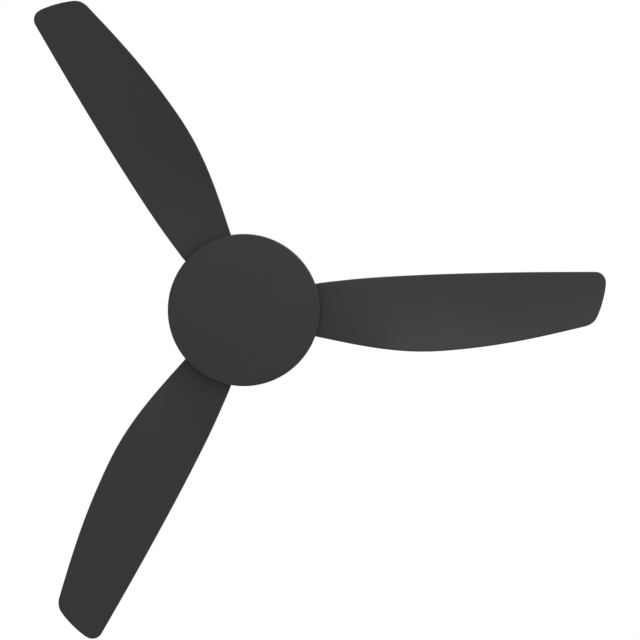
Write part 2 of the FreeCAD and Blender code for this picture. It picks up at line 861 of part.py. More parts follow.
def coupling_cover_ring():
    """Rubber ring that holds the coupling cover down on the rod."""
    inner = rod_radius
    outer = inner + cover_ring_width
    low = coupling_cover_top
    top = low + cover_ring_height
    return turned([(inner, low, 0), (outer, low, 0), (outer, top, 1.4), (inner, top, 0.4)])


def housing_profile(inset):
    """Outline of the housing's skin, from the yoke outwards and down: (radius, z, corner radius)."""
    return [
        (housing_top_radius, housing_top - inset, 30.0),
        (housing_radius - inset, housing_top - housing_shoulder, 26.0),
        (housing_radius - inset, housing_bottom, 0),
    ]


def motor_housing():
    """Stationary skin over the motor, screwed up against the yoke's flange, with a ring of vents."""
    hole = boss_radius + slip
    outer = housing_profile(0)
    inner = housing_profile(housing_wall)
    skin = turned([(hole, housing_top, 0)] + outer + inner[::-1] + [(hole, housing_top - housing_wall, 0)])
    depth = housing_shoulder + housing_wall
    for x, y in flange_screw_places():
        boss = cylinder(5.0, housing_top - housing_wall - 3.0, housing_top - 1.0, x, y)
        skin = skin.fuse(boss)
    for x, y in flange_screw_places():
        skin = skin.cut(cylinder(SMALL_SCREW[0], housing_top - depth, housing_top, x, y))
    slot = rectangle(vent_length / 2, vent_width / 2, vent_width * 0.49, vent_circle)
    vent = plate(slot, housing_top - depth, housing_top + 1)
    return skin.cut(Part.makeCompound(around(vent, vent_count, 180.0 / vent_count)))


def housing_screws():
    down = Vector(0, 0, -1)
    seats = [Vector(x, y, flange_top) for x, y in flange_screw_places()]
    return Part.makeCompound([screw(SMALL_SCREW, seat, down, flange_screw_length) for seat in seats])


def light_plate():
    """Pressed plate on the end of the shaft, notched for the cover's hooks, with a hole for a lamp plug."""
    disc = tube(light_plate_radius, shaft_thread_radius + 0.2, light_plate_bottom, light_plate_top)
    notch_floor = light_plate_radius - hook_reach - 1.0
    low = light_plate_bottom
    for middle in hook_angles():
        notch_middle = middle - twist_deg
        rim = light_plate_radius + 1.0
        disc = disc.cut(sector(notch_floor, rim, notch_middle, notch_width_deg, low, light_plate_top))
    half_x = connector_width / 2
    half_y = connector_depth / 2
    hole = plate(rectangle(half_x, half_y, 1.0, connector_x), light_plate_bottom, light_plate_top)
    vent_x = light_plate_radius - light_plate_vent_inset
    vent = cylinder(light_plate_vent_radius, light_plate_bottom, light_plate_top, vent_x)
    return disc.cut(hole).cut(Part.makeCompound(around(vent, 6, 30.0)))


def hook_angles():
    return [90.0 + k * 360.0 / hook_count for k in range(hook_count)]


def light_plate_washer():
    return tube(12.0, shaft_thread_radius + 0.2, light_plate_bottom - 1.0, light_plate_bottom)


def light_plate_nut():
    low = light_plate_bottom - 5.5
    top = light_plate_bottom - 1.0
    return hexagon(20.0, low, top).cut(cylinder(shaft_thread_radius, low, top))


def light_connector():
    """Lamp socket clipped in the light plate, shut by its own lid."""
    half_x = connector_width / 2
    half_y = connector_depth / 2
    low = light_plate_bottom - connector_drop
    body = plate(rectangle(half_x, half_y, 1.0, connector_x), low, connector_top)
    lip_low = light_plate_bottom - 1.0
    lip = plate(rectangle(half_x + 1.5, half_y + 1.5, 1.0, connector_x), lip_low, light_plate_bottom)
    inside = rectangle(half_x - connector_wall, half_y - connector_wall, 0.5, connector_x)
    return body.fuse(lip).cut(plate(inside, light_plate_bottom - connector_drop, light_plate_top))


def light_connector_lid():
    half_x = connector_width / 2
    half_y = connector_depth / 2
    low = light_plate_bottom - connector_drop
    lid = plate(rectangle(half_x, half_y, 1.0, connector_x), low - 1.5, low)
    wall = connector_wall + 0.2
    return lid.fuse(plate(rectangle(half_x - wall, half_y - wall, 0.5, connector_x), low, low + 3.0))


def crowned(radius, curve, bottom):
    """Drum about the axis, open end up, whose floor is a shallow cap of a large sphere."""
    drum = cylinder(radius, bottom, cover_top)
    return drum.common(Part.makeSphere(curve, Vector(0, 0, cover_bottom + crown_radius)))


def lower_cover():
    """Closed cover with a crowned floor, and three inward hooks that turn in over the light plate."""
    w = cover_wall
    dish = crowned(cover_radius, crown_radius, cover_bottom)
    shoulder = [edge for edge in dish.Edges if abs(edge.BoundBox.ZMax - cover_bottom - cover_crown) < 0.1]
    dish = dish.makeFillet(cover_edge_round, shoulder)
    dish = dish.cut(crowned(cover_radius - w, crown_radius - w, cover_floor))
    post_foot = cover_bottom + cover_crown
    for middle in hook_angles():
        post = sector(hook_inner, hook_inner + hook_wall, middle, hook_width_deg, post_foot, hook_top)
        lug_bottom = light_plate_top + hook_slack
        lug = sector(hook_inner - hook_reach, hook_inner, middle, hook_width_deg, lug_bottom, hook_top)
        dish = dish.fuse(post).fuse(lug)
    return dish.removeSplitter()


# ---------------------------------------------------------------- shaft, bearings and stator


def motor_shaft():
    """Hollow fixed shaft, with a side window for each lead and a threaded lower end."""
    b = bearing_bore_radius
    m = shaft_middle_radius
    t = shaft_thread_radius
    end = light_plate_bottom - 7.0
    body = turned(
        [
            (shaft_bore_radius, shaft_top, 0),
            (b, shaft_top, 0.6),
            (b, upper_bearing_bottom, 0),
            (m, upper_bearing_bottom, 0),
            (m, lower_bearing_top, 0),
            (b, lower_bearing_top, 0),
            (b, light_plate_top, 0),
            (t, light_plate_top, 0),
            (t, end, 0.8),
            (shaft_bore_radius, end, 0),
        ]
    )
    for z, x in ((motor_window_z, m), (lamp_window_z, -m)):
        body = body.cut(rod_between(shaft_window_radius, Vector(0, 0, z), Vector(x, 0, z)))
    low = upper_bearing_top
    groove = tube(b + 1, b - 0.6, low, low + retaining_ring_thickness)
    return body.cut(groove)


def shaft_retaining_ring():
    low = upper_bearing_top
    ring = tube(bearing_bore_radius + 2.2, bearing_bore_radius - 0.6, low, low + retaining_ring_thickness)
    return ring.cut(block(-3, 3, 0, 20, low, low + retaining_ring_thickness))


def raceway(middle):
    groove_radius = bearing_ball_radius + bearing_groove_clearance
    return Part.makeTorus(ball_pitch_radius, groove_radius, Vector(0, 0, middle))


def bearing_inner_ring(bottom):
    ring = tube(inner_ring_radius, bearing_bore_radius, bottom, bottom + bearing_width)
    return ring.cut(raceway(bottom + bearing_width / 2))


def bearing_outer_ring(bottom):
    ring = tube(bearing_outer_radius, outer_ring_radius, bottom, bottom + bearing_width)
    return ring.cut(raceway(bottom + bearing_width / 2))


def bearing_ball_set(bottom):
    ball = Part.makeSphere(bearing_ball_radius, Vector(ball_pitch_radius, 0, bottom + bearing_width / 2))
    return Part.makeCompound(around(ball, bearing_balls))


def bearing_cage(bottom):
    """Ring between the races, with a round pocket for each ball."""
    middle = bottom + bearing_width / 2
    inner = ball_pitch_radius - cage_wall / 2
    outer = ball_pitch_radius + cage_wall / 2
    half = bearing_width / 2 - cage_inset
    cage = tube(outer, inner, middle - half, middle + half)
    pocket_radius = bearing_ball_radius + cage_pocket_clearance
    pocket = rod_between(pocket_radius, Vector(inner - 1, 0, middle), Vector(outer + 1, 0, middle))
    return cage.cut(Part.makeCompound(around(pocket, bearing_balls)))


def stator_outline(bottom, top):
    """Core ring with its teeth and their shoes, as one plate from bottom to top."""
    plan = cylinder(core_ring_radius, bottom, top)
    half = tooth_width / 2
    neck = stator_radius - shoe_depth
    tooth = block(core_ring_radius - 3.0, neck + 1.0, -half, half, bottom, top)
    shoe = sector(neck, stator_radius, 0, 2 * shoe_half_angle, bottom, top)
    for piece in around(tooth.fuse(shoe), tooth_count):
        plan = plan.fuse(piece)
    return plan.cut(cylinder(shaft_middle_radius, bottom, top)).removeSplitter()


def stator_core():
    return stator_outline(stack_bottom, stack_top)


def stator_insulators():
    upper = stator_outline(stack_top, stack_top + insulator_thickness)
    lower = stator_outline(stack_bottom - insulator_thickness, stack_bottom)
    return Part.makeCompound([upper, lower])


def stator_windings():
    """One copper coil round each tooth."""
    half_pitch = math.pi / tooth_count
    a = (coil_inner_radius * math.sin(half_pitch) - coil_gap) / math.cos(half_pitch)
    b = (coil_outer_radius * math.sin(half_pitch) - coil_gap) / math.cos(half_pitch)
    outer = plate(
        [
            (coil_inner_radius, -a, 2.0),
            (coil_outer_radius, -b, 3.0),
            (coil_outer_radius, b, 3.0),
            (coil_inner_radius, a, 2.0),
        ],
        coil_bottom,
        coil_top,
    )
    half = tooth_width / 2 + coil_fit
    reach = insulator_thickness + coil_fit
    low = stack_bottom - reach
    window = block(coil_inner_radius - 1, coil_outer_radius + 1, -half, half, low, stack_top + reach)
    return Part.makeCompound(around(outer.cut(window), tooth_count))


# ---------------------------------------------------------------- rotor


def case_screw_bores(radius, bottom, top):
    bore = cylinder(radius, bottom, top, case_screw_circle)
    return Part.makeCompound(around(bore, case_screws))


def carrier_screw_bores(radius, bottom, top):
    bore = cylinder(radius, bottom, top, carrier_boss_circle)
    return Part.makeCompound(around(bore, carrier_screws, 30.0))


def rotor_upper_shell():
    """Cast half of the motor case, with the upper bearing's seat."""
    boss = bearing_boss_radius
    seat = bearing_outer_radius
    lip_hole = bearing_bore_radius + 4.5
    split = stack_middle
    body = turned(
        [
            (lip_hole, rotor_top, 0),
            (boss, rotor_top, 2.0),
            (boss, shell_top_outside, 2.0),
            (shell_outer, shell_top_outside, 5.0),
            (shell_outer, split + shell_flange_thickness, 0),
            (flange_outer, split + shell_flange_thickness, 1.0),
            (flange_outer, split, 0),
            (shell_inner, split, 0),
            (shell_inner, shell_top_inside, 1.5),
            (boss, shell_top_inside, 0),
            (boss, upper_bearing_bottom, 0.8),
            (seat, upper_bearing_bottom, 0),
            (seat, upper_bearing_top + wave_washer_height, 0),
            (lip_hole, upper_bearing_top + wave_washer_height, 0),
        ]
    )
    return body.cut(case_screw_bores(SMALL_SCREW[0] + screw_slack, split, split + shell_flange_thickness))


def rotor_lower_shell():
    """Cast half of the motor case, with the lower bearing's seat and the bosses for the blade carrier."""
    boss = bearing_boss_radius
    seat = bearing_outer_radius
    lip_hole = bearing_bore_radius + 4.5
    split = stack_middle
    body = turned(
        [
            (lip_hole, rotor_bottom, 0),
            (boss, rotor_bottom, 1.5),
            (boss, shell_bottom_outside, 0),
            (shell_outer, shell_bottom_outside, 5.0),
            (shell_outer, split - shell_flange_thickness, 0),
            (flange_outer, split - shell_flange_thickness, 1.0),
            (flange_outer, split, 0),
            (shell_inner, split, 0),
            (shell_inner, shell_bottom_inside, 1.5),
            (boss, shell_bottom_inside, 0),
            (boss, lower_bearing_top, 0.8),
            (seat, lower_bearing_top, 0),
            (seat, lower_bearing_bottom, 0),
            (lip_hole, lower_bearing_bottom, 0),
        ]
    )
    boss_top = shell_bottom_outside + carrier_boss_height
    post = cylinder(carrier_boss_radius, shell_bottom_outside + 1.0, boss_top, carrier_boss_circle)
    for piece in around(post, carrier_screws, 30.0):
        body = body.fuse(piece)
    body = body.cut(case_screw_bores(SMALL_SCREW[0], split - shell_flange_thickness, split))
    return body.cut(carrier_screw_bores(SMALL_SCREW[0], shell_bottom_outside, boss_top))


def rotor_case_screws():
    seat = Vector(case_screw_circle, 0, stack_middle + shell_flange_thickness)
    one = screw(SMALL_SCREW, seat, Vector(0, 0, -1), 2 * shell_flange_thickness)
    return Part.makeCompound(around(one, case_screws))


def rotor_flux_ring():
    half = flux_ring_height / 2
    return tube(shell_inner, shell_inner - flux_ring_thickness, stack_middle - half, stack_middle + half)


def rotor_magnets():
    inner = stator_radius + air_gap
    half = magnet_height / 2
    width = 360.0 / magnet_count - magnet_spacing_deg
    one = sector(inner, inner + magnet_thickness, 0, width, stack_middle - half, stack_middle + half)
    return Part.makeCompound(around(one, magnet_count))


def bearing_wave_washer():
    """Thin spring ring over the upper bearing's outer ring, drawn flat at its working height."""
    low = upper_bearing_top
    return tube(bearing_outer_radius - 0.3, outer_ring_radius + 0.6, low, low + wave_washer_height)


def blade_carrier():
    """Cast plate under the motor case: blades screw up against it, and its skirt shows between them."""
    r = carrier_radius
    half = blade_gap_half_width
    skirt = tube(r, r - carrier_skirt_wall, skirt_bottom, carrier_bottom)
    gap = block(0, r + 2, -half, half, skirt_bottom - 1, carrier_bottom + 1)
    skirt = skirt.cut(Part.makeCompound(around(gap, blade_count)))
    disc = turned(
        [
            (carrier_bore_radius, carrier_top, 0),
            (r, carrier_top, 2.5),
            (r, carrier_bottom, 0),
            (carrier_bore_radius, carrier_bottom, 0),
        ]
    )
    body = disc.fuse(skirt).removeSplitter()
    body = body.cut(carrier_screw_bores(SMALL_SCREW[0] + screw_slack, carrier_bottom, carrier_top))
    return body.cut(blade_screw_bores(BLADE_SCREW[0], carrier_bottom, carrier_top))


def carrier_screw_set():
    seat = Vector(carrier_boss_circle, 0, carrier_bottom)
    length = carrier_thickness + carrier_boss_height
    one = screw(SMALL_SCREW, seat, Vector(0, 0, 1), length)
    return Part.makeCompound(around(one, carrier_screws, 30.0))


# ---------------------------------------------------------------- blades


def blade_screw_bores(radius, bottom, top):
    bores = []
    for x, y in blade_screw_places:
        bores += around(cylinder(radius, bottom, top, x, y), blade_count)
    return Part.makeCompound(bores)


def span(share):
    """Radius at a share of the way from the cover's edge to the tip."""
    return cover_radius + share * (tip_radius - cover_radius)


def eased(x):
    """Smooth step from 0 to 1."""
    x = min(1.0, max(0.0, x))
    return x * x * (3 - 2 * x)


def smooth_curve(points):
    curve = Part.BSplineCurve()
    curve.interpolate(points)
    return curve.toShape()


def blade_plan(bottom, top):
    """Upright prism on the blade's outline, root tab included, for a blade along +X."""
    lead_corner = Vector(tip_radius - tip_lead[0], tip_lead[1], bottom)
    tip_mid = Vector(tip_radius - tip_middle[0], tip_middle[1], bottom)
    trail_corner = Vector(tip_radius - tip_trail[0], tip_trail[1], bottom)
    lead = [Vector(span(share), -ahead, bottom) for share, ahead, _ in blade_widths] + [lead_corner]
    trail = [Vector(span(share), behind, bottom) for share, _, behind in blade_widths] + [trail_corner]
    root_corner = blade_root_corner
    tab = [Vector(blade_root_inner, s * blade_root_half_width, bottom) for s in (-1, 1)]
    edges = [
        smooth_curve(lead),
        Part.Arc(lead_corner, tip_mid, trail_corner).toShape(),
        smooth_curve(trail),
        Part.LineSegment(trail[0], tab[1]).toShape(),
        Part.LineSegment(tab[1], tab[0]).toShape(),
        Part.LineSegment(tab[0], lead[0]).toShape(),
    ]
    prism = Part.Face(Part.Wire(Part.__sortEdges__(edges))).extrude(Vector(0, 0, top - bottom))
    rounds = [(tab[0], root_corner), (tab[1], root_corner)]
    rounds += [(lead_corner, tip_lead_corner), (trail_corner, tip_trail_corner)]
    for corner, radius in rounds:
        upright = [e for e in prism.Edges if is_upright_at(e, corner)]
        prism = prism.makeFillet(radius, upright)
    return prism


def is_upright_at(edge, corner):
    return all(math.hypot(v.X - corner.x, v.Y - corner.y) < 1e-3 for v in edge.Vertexes)


def blade_section(radius, ahead, behind):
    """Closed cross-section at a radius: a thin curved plate, hollow side down, raised at the leading edge."""
    share = (radius - cover_radius) / (tip_radius - cover_radius)
    rise = eased(share / 0.30)
    fade = eased((share - 0.30) / 0.70)
    pitch = math.radians(rise * (blade_pitch_deg + fade * (tip_pitch_deg - blade_pitch_deg)))
    camber = rise * (blade_camber + fade * (tip_camber - blade_camber))
    middle_thickness = blade_root_thickness + rise * (blade_middle_thickness - blade_root_thickness)
    edge_thickness = blade_root_thickness + rise * (blade_edge_thickness - blade_root_thickness)
    centre = (behind - ahead) / 2
    half = (behind + ahead) / 2

    def height(y, side):
        flatness = 1 - ((y - centre) / half) ** 2
        thickness = edge_thickness + (middle_thickness - edge_thickness) * flatness
        return blade_middle - math.tan(pitch) * y + camber * flatness + side * thickness / 2

    def parabola(y0, y1, side):
        """The exact parabola of a face, as a curve with three poles."""
        z0 = height(y0, side)
        z1 = height(y1, side)
        pole_z = 2 * height((y0 + y1) / 2, side) - (z0 + z1) / 2
        curve = Part.BezierCurve()
        middle = Vector(radius, (y0 + y1) / 2, pole_z)
        curve.setPoles([Vector(radius, y0, z0), middle, Vector(radius, y1, z1)])
        return curve.toShape()

    def upright(y, first_side):
        ends = [Vector(radius, y, height(y, side)) for side in (first_side, -first_side)]
        return Part.LineSegment(*ends).toShape()

    y0 = -ahead - loft_margin
    y1 = behind + loft_margin
    return Part.Wire([parabola(y0, y1, -1), upright(y1, -1), parabola(y1, y0, 1), upright(y0, 1)])


def blade():
    """One moulded blade along +X: flat root tab, then a twisted and hollowed plate out to the tip."""
    stations = [(span(share), ahead, behind) for share, ahead, behind in blade_widths]
    root_ahead, root_behind = blade_widths[0][1:]
    last_ahead, last_behind = -tip_lead[1], tip_trail[1] + 8.0
    neck = carrier_radius - carrier_skirt_wall
    stations = [(neck, root_ahead, root_behind)] + stations
    stations += [(span(0.90), 69.7, 33.5), (tip_radius + 1.0, last_ahead, last_behind)]
    wires = [blade_section(*station) for station in stations]
    airfoil = Part.makeLoft(wires, True, False)
    reach = root_behind + loft_margin
    root = block(blade_root_inner - 1, neck, -reach, reach, blade_bottom, blade_top)
    low = cover_bottom - 60.0
    high = 0.0
    body = airfoil.fuse(root).common(blade_plan(low, high)).removeSplitter()
    for x, y in blade_screw_places:
        body = body.cut(cylinder(BLADE_SCREW[0] + screw_slack, blade_bottom, blade_top, x, y))
    return body


def blade_gaskets():
    """Thin fibre pads between the blade roots and the carrier."""
    outer = carrier_radius - carrier_skirt_wall - 2.0
    inner = blade_root_inner + 2.0
    half = blade_root_half_width - 1.0
    pad = plate(
        [(inner, -half, 8.0), (outer, -half - 6.0, 6.0), (outer, half + 6.0, 6.0), (inner, half, 8.0)],
        blade_top,
        carrier_bottom,
    )
    bores = blade_screw_bores(BLADE_SCREW[0] + screw_slack, blade_top, carrier_bottom)
    return Part.makeCompound([pad_copy.cut(bores) for pad_copy in around(pad, blade_count)])


def blade_screws():
    """Three flange-head screws in each blade root."""
    length = blade_root_thickness + blade_gasket_thickness + carrier_thickness
    screws = []
    for x, y in blade_screw_places:
        one = screw(BLADE_SCREW, Vector(x, y, blade_bottom), Vector(0, 0, 1), length)
        screws += around(one, blade_count)
    return Part.makeCompound(screws)


# ---------------------------------------------------------------- the whole fan

PARTS = {
    "hanger_bracket": hanger_bracket,
    "receiver_base": receiver_base,
    "receiver_lid": receiver_lid,
    "receiver_board": receiver_board,
    "terminal_block": terminal_block,
    "terminal_screws": terminal_screws,
    "earth_screw": earth_screw,
    "canopy": canopy,
    "canopy_screws": canopy_screws,
    "canopy_ring": canopy_ring,
    "ball_seat": ball_seat,
    "hanger_ball": hanger_ball,
    "ball_cross_pin": ball_cross_pin,
    "ball_set_screw": ball_set_screw,
    "downrod": downrod,
    "motor_lead": motor_lead,
    "lamp_lead": lamp_lead,
    "lead_plug": lead_plug,
    "motor_yoke": motor_yoke,
    "yoke_set_screws": yoke_set_screws,
    "yoke_lock_nuts": yoke_lock_nuts,
    "shaft_grub_screw": shaft_grub_screw,
    "clevis_pin": clevis_pin,
    "clevis_clip": clevis_clip,
    "coupling_cover": coupling_cover,
    "coupling_cover_ring": coupling_cover_ring,
    "motor_housing": motor_housing,
    "housing_screws": housing_screws,
    "motor_shaft": motor_shaft,
    "shaft_retaining_ring": shaft_retaining_ring,
    "stator_core": stator_core,
    "stator_insulators": stator_insulators,
    "stator_windings": stator_windings,
    "light_plate": light_plate,
    "light_plate_washer": light_plate_washer,
    "light_plate_nut": light_plate_nut,
    "light_connector": light_connector,
    "light_connector_lid": light_connector_lid,
    "lower_cover": lower_cover,
    "rotor_upper_shell": rotor_upper_shell,
    "rotor_lower_shell": rotor_lower_shell,
    "rotor_case_screws": rotor_case_screws,
    "rotor_flux_ring": rotor_flux_ring,
    "rotor_magnets": rotor_magnets,
    "bearing_wave_washer": bearing_wave_washer,
    "blade_carrier": blade_carrier,
    "carrier_screws": carrier_screw_set,
    "blade_gaskets": blade_gaskets,
    "blade_screws": blade_screws,
}


def build():
    """Every piece of the fan, by name."""
    shapes = {name: make() for name, make in PARTS.items()}
    for i, copy in enumerate(around(blade(), blade_count)):
        shapes[f"blade_{i + 1}"] = copy
    for place, bottom in (("upper", upper_bearing_bottom), ("lower", lower_bearing_bottom)):
        shapes[f"{place}_bearing_inner_ring"] = bearing_inner_ring(bottom)
        shapes[f"{place}_bearing_outer_ring"] = bearing_outer_ring(bottom)
        shapes[f"{place}_bearing_balls"] = bearing_ball_set(bottom)
        shapes[f"{place}_bearing_cage"] = bearing_cage(bottom)
    return shapes


os.makedirs("parts", exist_ok=True)
for name, shape in build().items():
    if not shape.isValid():
        raise ValueError(f"{name} is not a valid shape")
    shape.exportStep(f"parts/{name}.step")
print(f"drop from the ceiling {-cover_bottom:.1f} mm, ball centre at {ball_z:.1f} mm")
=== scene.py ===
import math

import bmesh
import bpy
import numpy as np
from mathutils import Matrix, Vector


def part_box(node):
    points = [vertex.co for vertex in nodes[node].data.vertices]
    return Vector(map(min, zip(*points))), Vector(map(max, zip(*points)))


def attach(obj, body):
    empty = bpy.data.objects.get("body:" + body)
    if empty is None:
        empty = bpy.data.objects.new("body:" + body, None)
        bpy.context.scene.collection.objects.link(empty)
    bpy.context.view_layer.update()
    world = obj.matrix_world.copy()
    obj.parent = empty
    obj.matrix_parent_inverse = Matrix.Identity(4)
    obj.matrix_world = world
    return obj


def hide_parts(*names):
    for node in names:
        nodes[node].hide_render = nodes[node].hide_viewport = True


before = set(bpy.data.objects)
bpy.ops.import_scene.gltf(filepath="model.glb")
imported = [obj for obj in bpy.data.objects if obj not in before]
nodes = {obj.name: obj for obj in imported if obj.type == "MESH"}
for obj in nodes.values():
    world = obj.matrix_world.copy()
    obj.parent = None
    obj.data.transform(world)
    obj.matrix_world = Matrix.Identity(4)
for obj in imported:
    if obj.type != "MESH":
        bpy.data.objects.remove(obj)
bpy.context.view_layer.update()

MM = 0.001

# ------------------------------------------------------------------------------------------------------------
# Hanger bracket. Pressed from 2.5 mm steel sheet and zinc plated, with a cup formed in its strap for the
# ball's seat. Four screws hold it to the ceiling, and everything else hangs from it.
# The finishes of all pieces share a few surface effects, which are set up here with the first of them.


def effect_group(name, build):
    """A shader group with Scale in, and Mask and Height out, filled in by build."""
    group = bpy.data.node_groups.new(name, "ShaderNodeTree")
    scale = group.interface.new_socket("Scale", in_out="INPUT", socket_type="NodeSocketFloat")
    scale.default_value = 100.0
    group.interface.new_socket("Mask", in_out="OUTPUT", socket_type="NodeSocketFloat")
    group.interface.new_socket("Height", in_out="OUTPUT", socket_type="NodeSocketFloat")
    start = group.nodes.new("NodeGroupInput")
    end = group.nodes.new("NodeGroupOutput")
    place = group.nodes.new("ShaderNodeTexCoord").outputs["Object"]
    mask, height = build(group, place, start.outputs["Scale"])
    group.links.new(mask, end.inputs["Mask"])
    group.links.new(height, end.inputs["Height"])
    return group


def add_node(tree, kind, inputs=None, **settings):
    """Adds a node, sets it up, and plugs in or sets its inputs by name or number."""
    node = tree.nodes.new(kind)
    for key, value in settings.items():
        setattr(node, key, value)
    for key, value in (inputs or {}).items():
        if isinstance(value, bpy.types.NodeSocket):
            tree.links.new(value, node.inputs[key])
        else:
            node.inputs[key].default_value = value
    return node


def put(tree, kind, inputs=None, **settings):
    """Adds a node of which only the first output is wanted, and returns that."""
    return add_node(tree, kind, inputs, **settings).outputs[0]


def maths(tree, operation, *values):
    """One math node on sockets or numbers."""
    return put(tree, "ShaderNodeMath", dict(enumerate(values)), operation=operation)


def times(tree, one, other):
    """One socket or number times another. The next three add, take away and divide."""
    return maths(tree, "MULTIPLY", one, other)


def plus(tree, one, other):
    return maths(tree, "ADD", one, other)


def minus(tree, one, other):
    return maths(tree, "SUBTRACT", one, other)


def over(tree, one, other):
    return maths(tree, "DIVIDE", one, other)


def noise(tree, place, scale, detail=3.0, roughness=0.55):
    """Soft random values over the surface."""
    inputs = {"Vector": place, "Scale": scale, "Detail": detail, "Roughness": roughness}
    return add_node(tree, "ShaderNodeTexNoise", inputs).outputs["Fac"]


def remap(tree, value, low, high, to_low=0.0, to_high=1.0):
    """Runs a value from one range to another, and stops at its ends."""
    return put(tree, "ShaderNodeMapRange", {0: value, 1: low, 2: high, 3: to_low, 4: to_high})


def stretched(tree, place, factors):
    """Coordinates scaled by their own factor along X, Y and Z."""
    return put(tree, "ShaderNodeMapping", {"Vector": place, "Scale": factors})


def mixed(tree, one, share, other):
    """A share of one value, and the rest of another."""
    return plus(tree, times(tree, one, share), times(tree, other, 1.0 - share))


def worn_corners(tree, mask, strength):
    """Adds rubbed outside corners to a mask, from how sharply the surface turns."""
    turn = add_node(tree, "ShaderNodeNewGeometry").outputs["Pointiness"]
    worn = remap(tree, turn, 0.53, 0.60, 0.0, strength)
    return put(tree, "ShaderNodeMath", {0: mask, 1: worn}, operation="ADD", use_clamp=True)


def finish(name, effect, scale, colours, roughness, bump, **shader):
    """A material whose colour and roughness run between two values by an effect's mask.

    The effect's height goes into a bump of the given strength and distance.
    """
    material = bpy.data.materials.new(name)
    material.use_nodes = True
    tree = material.node_tree
    principled = tree.nodes["Principled BSDF"]
    group = add_node(tree, "ShaderNodeGroup", node_tree=effect)
    group.inputs["Scale"].default_value = scale
    mask = group.outputs["Mask"]
    mix = add_node(tree, "ShaderNodeMix", {"Factor": mask}, data_type="RGBA")
    mix.inputs["A"].default_value = (*colours[0], 1.0)
    mix.inputs["B"].default_value = (*colours[1], 1.0)
    tree.links.new(mix.outputs["Result"], principled.inputs["Base Color"])
    tree.links.new(remap(tree, mask, 0.0, 1.0, *roughness), principled.inputs["Roughness"])
    height = {"Height": group.outputs["Height"], "Strength": bump[0], "Distance": bump[1]}
    tree.links.new(put(tree, "ShaderNodeBump", height), principled.inputs["Normal"])
    for socket, value in shader.items():
        principled.inputs[socket.replace("_", " ")].default_value = value
    return material


def dress(material, *names):
    """Gives CAD nodes their material."""
    for name in names:
        for slot in nodes[name].material_slots:
            slot.material = material


def plated_effect(tree, place, scale):
    """Zinc plate: small bright and dull crystals, with rolling lines from the sheet."""
    cells = add_node(tree, "ShaderNodeTexVoronoi", {"Vector": place, "Scale": scale}, feature="F1")
    tone = put(tree, "ShaderNodeSeparateColor", {0: cells.outputs["Color"]})
    lines = noise(tree, stretched(tree, place, (6.0, 0.2, 1.0)), scale)
    return worn_corners(tree, mixed(tree, tone, 0.6, lines), 0.5), lines


zinc_plating = effect_group("zinc_plating", plated_effect)
zinc = finish(
    "zinc_plate", zinc_plating, scale=160, colours=((0.38, 0.39, 0.39), (0.50, 0.50, 0.48)),
    roughness=(0.42, 0.32), bump=(0.12, 0.0004), Metallic=1.0,
)
dress(zinc, "hanger_bracket")

# ------------------------------------------------------------------------------------------------------------
# Receiver and connector block. The receiver's case is two moulded halves round a circuit board, and it lies
# on two ledges of the bracket. The connector block is screwed to the outside of one leg.


def spark_effect(tree, place, scale):
    """Spark-eroded mould texture: two sizes of fine noise, with slow drifts of tone."""
    fine = noise(tree, place, scale, 2.0)
    coarse = noise(tree, place, times(tree, scale, 0.35), 2.0)
    height = mixed(tree, fine, 0.6, coarse)
    drift = noise(tree, place, 5.0, 2.0)
    return remap(tree, mixed(tree, drift, 0.55, height), 0.3, 0.7), height


def board_effect(tree, place, scale):
    """Circuit board: green lacquer with paler copper tracks under it."""
    bricks = add_node(tree, "ShaderNodeTexBrick", {"Vector": place, "Scale": scale, "Mortar Size": 0.12})
    return bricks.outputs["Fac"], bricks.outputs["Fac"]


mould_texture = effect_group("mould_texture", spark_effect)
tracks = effect_group("board_tracks", board_effect)
ivory = finish(
    "ivory_plastic", mould_texture, scale=900, colours=((0.68, 0.66, 0.60), (0.76, 0.75, 0.70)),
    roughness=(0.5, 0.42), bump=(0.1, 0.0002),
)
board = finish(
    "circuit_board", tracks, scale=120, colours=((0.02, 0.12, 0.05), (0.06, 0.24, 0.10)),
    roughness=(0.35, 0.25), bump=(0.3, 0.0001),
)
dress(ivory, "receiver_base", "receiver_lid", "terminal_block")
dress(board, "receiver_board")

# ------------------------------------------------------------------------------------------------------------
# Ball joint. A natural nylon seat lines the bracket's cup. The black ball is self-lubricating plastic, and
# carries the rod on a cross pin.


def sheen_effect(tree, place, scale):
    """Smooth moulded plastic: faint flow marks and long waves."""
    flow = noise(tree, stretched(tree, place, (1.0, 1.0, 3.0)), scale, 4.0)
    return remap(tree, flow, 0.35, 0.65), flow


flow_marks = effect_group("flow_marks", sheen_effect)
nylon = finish(
    "natural_nylon", flow_marks, scale=60, colours=((0.72, 0.70, 0.62), (0.80, 0.78, 0.72)),
    roughness=(0.38, 0.30), bump=(0.08, 0.0003), Subsurface_Weight=0.15,
)
ball_black = finish(
    "ball_plastic", flow_marks, scale=50, colours=((0.012, 0.012, 0.013), (0.03, 0.03, 0.03)),
    roughness=(0.34, 0.24), bump=(0.06, 0.0003),
)
dress(nylon, "ball_seat", "lead_plug", "light_connector", "light_connector_lid", "stator_insulators")
dress(ball_black, "hanger_ball")

# ------------------------------------------------------------------------------------------------------------
# Pins, set screws, nuts and the spring clip. Turned or drawn steel with a bright zinc coat. They cross the
# ball, the rod and the yoke.


def turned_effect(tree, place, scale):
    """Turned steel: fine rings round the axis of the lathe, with a slow haze."""
    rings = noise(tree, stretched(tree, place, (1.0, 1.0, 22.0)), scale, 3.0)
    haze = noise(tree, place, 25.0, 2.0)
    return worn_corners(tree, remap(tree, mixed(tree, rings, 0.5, haze), 0.35, 0.65), 0.4), rings


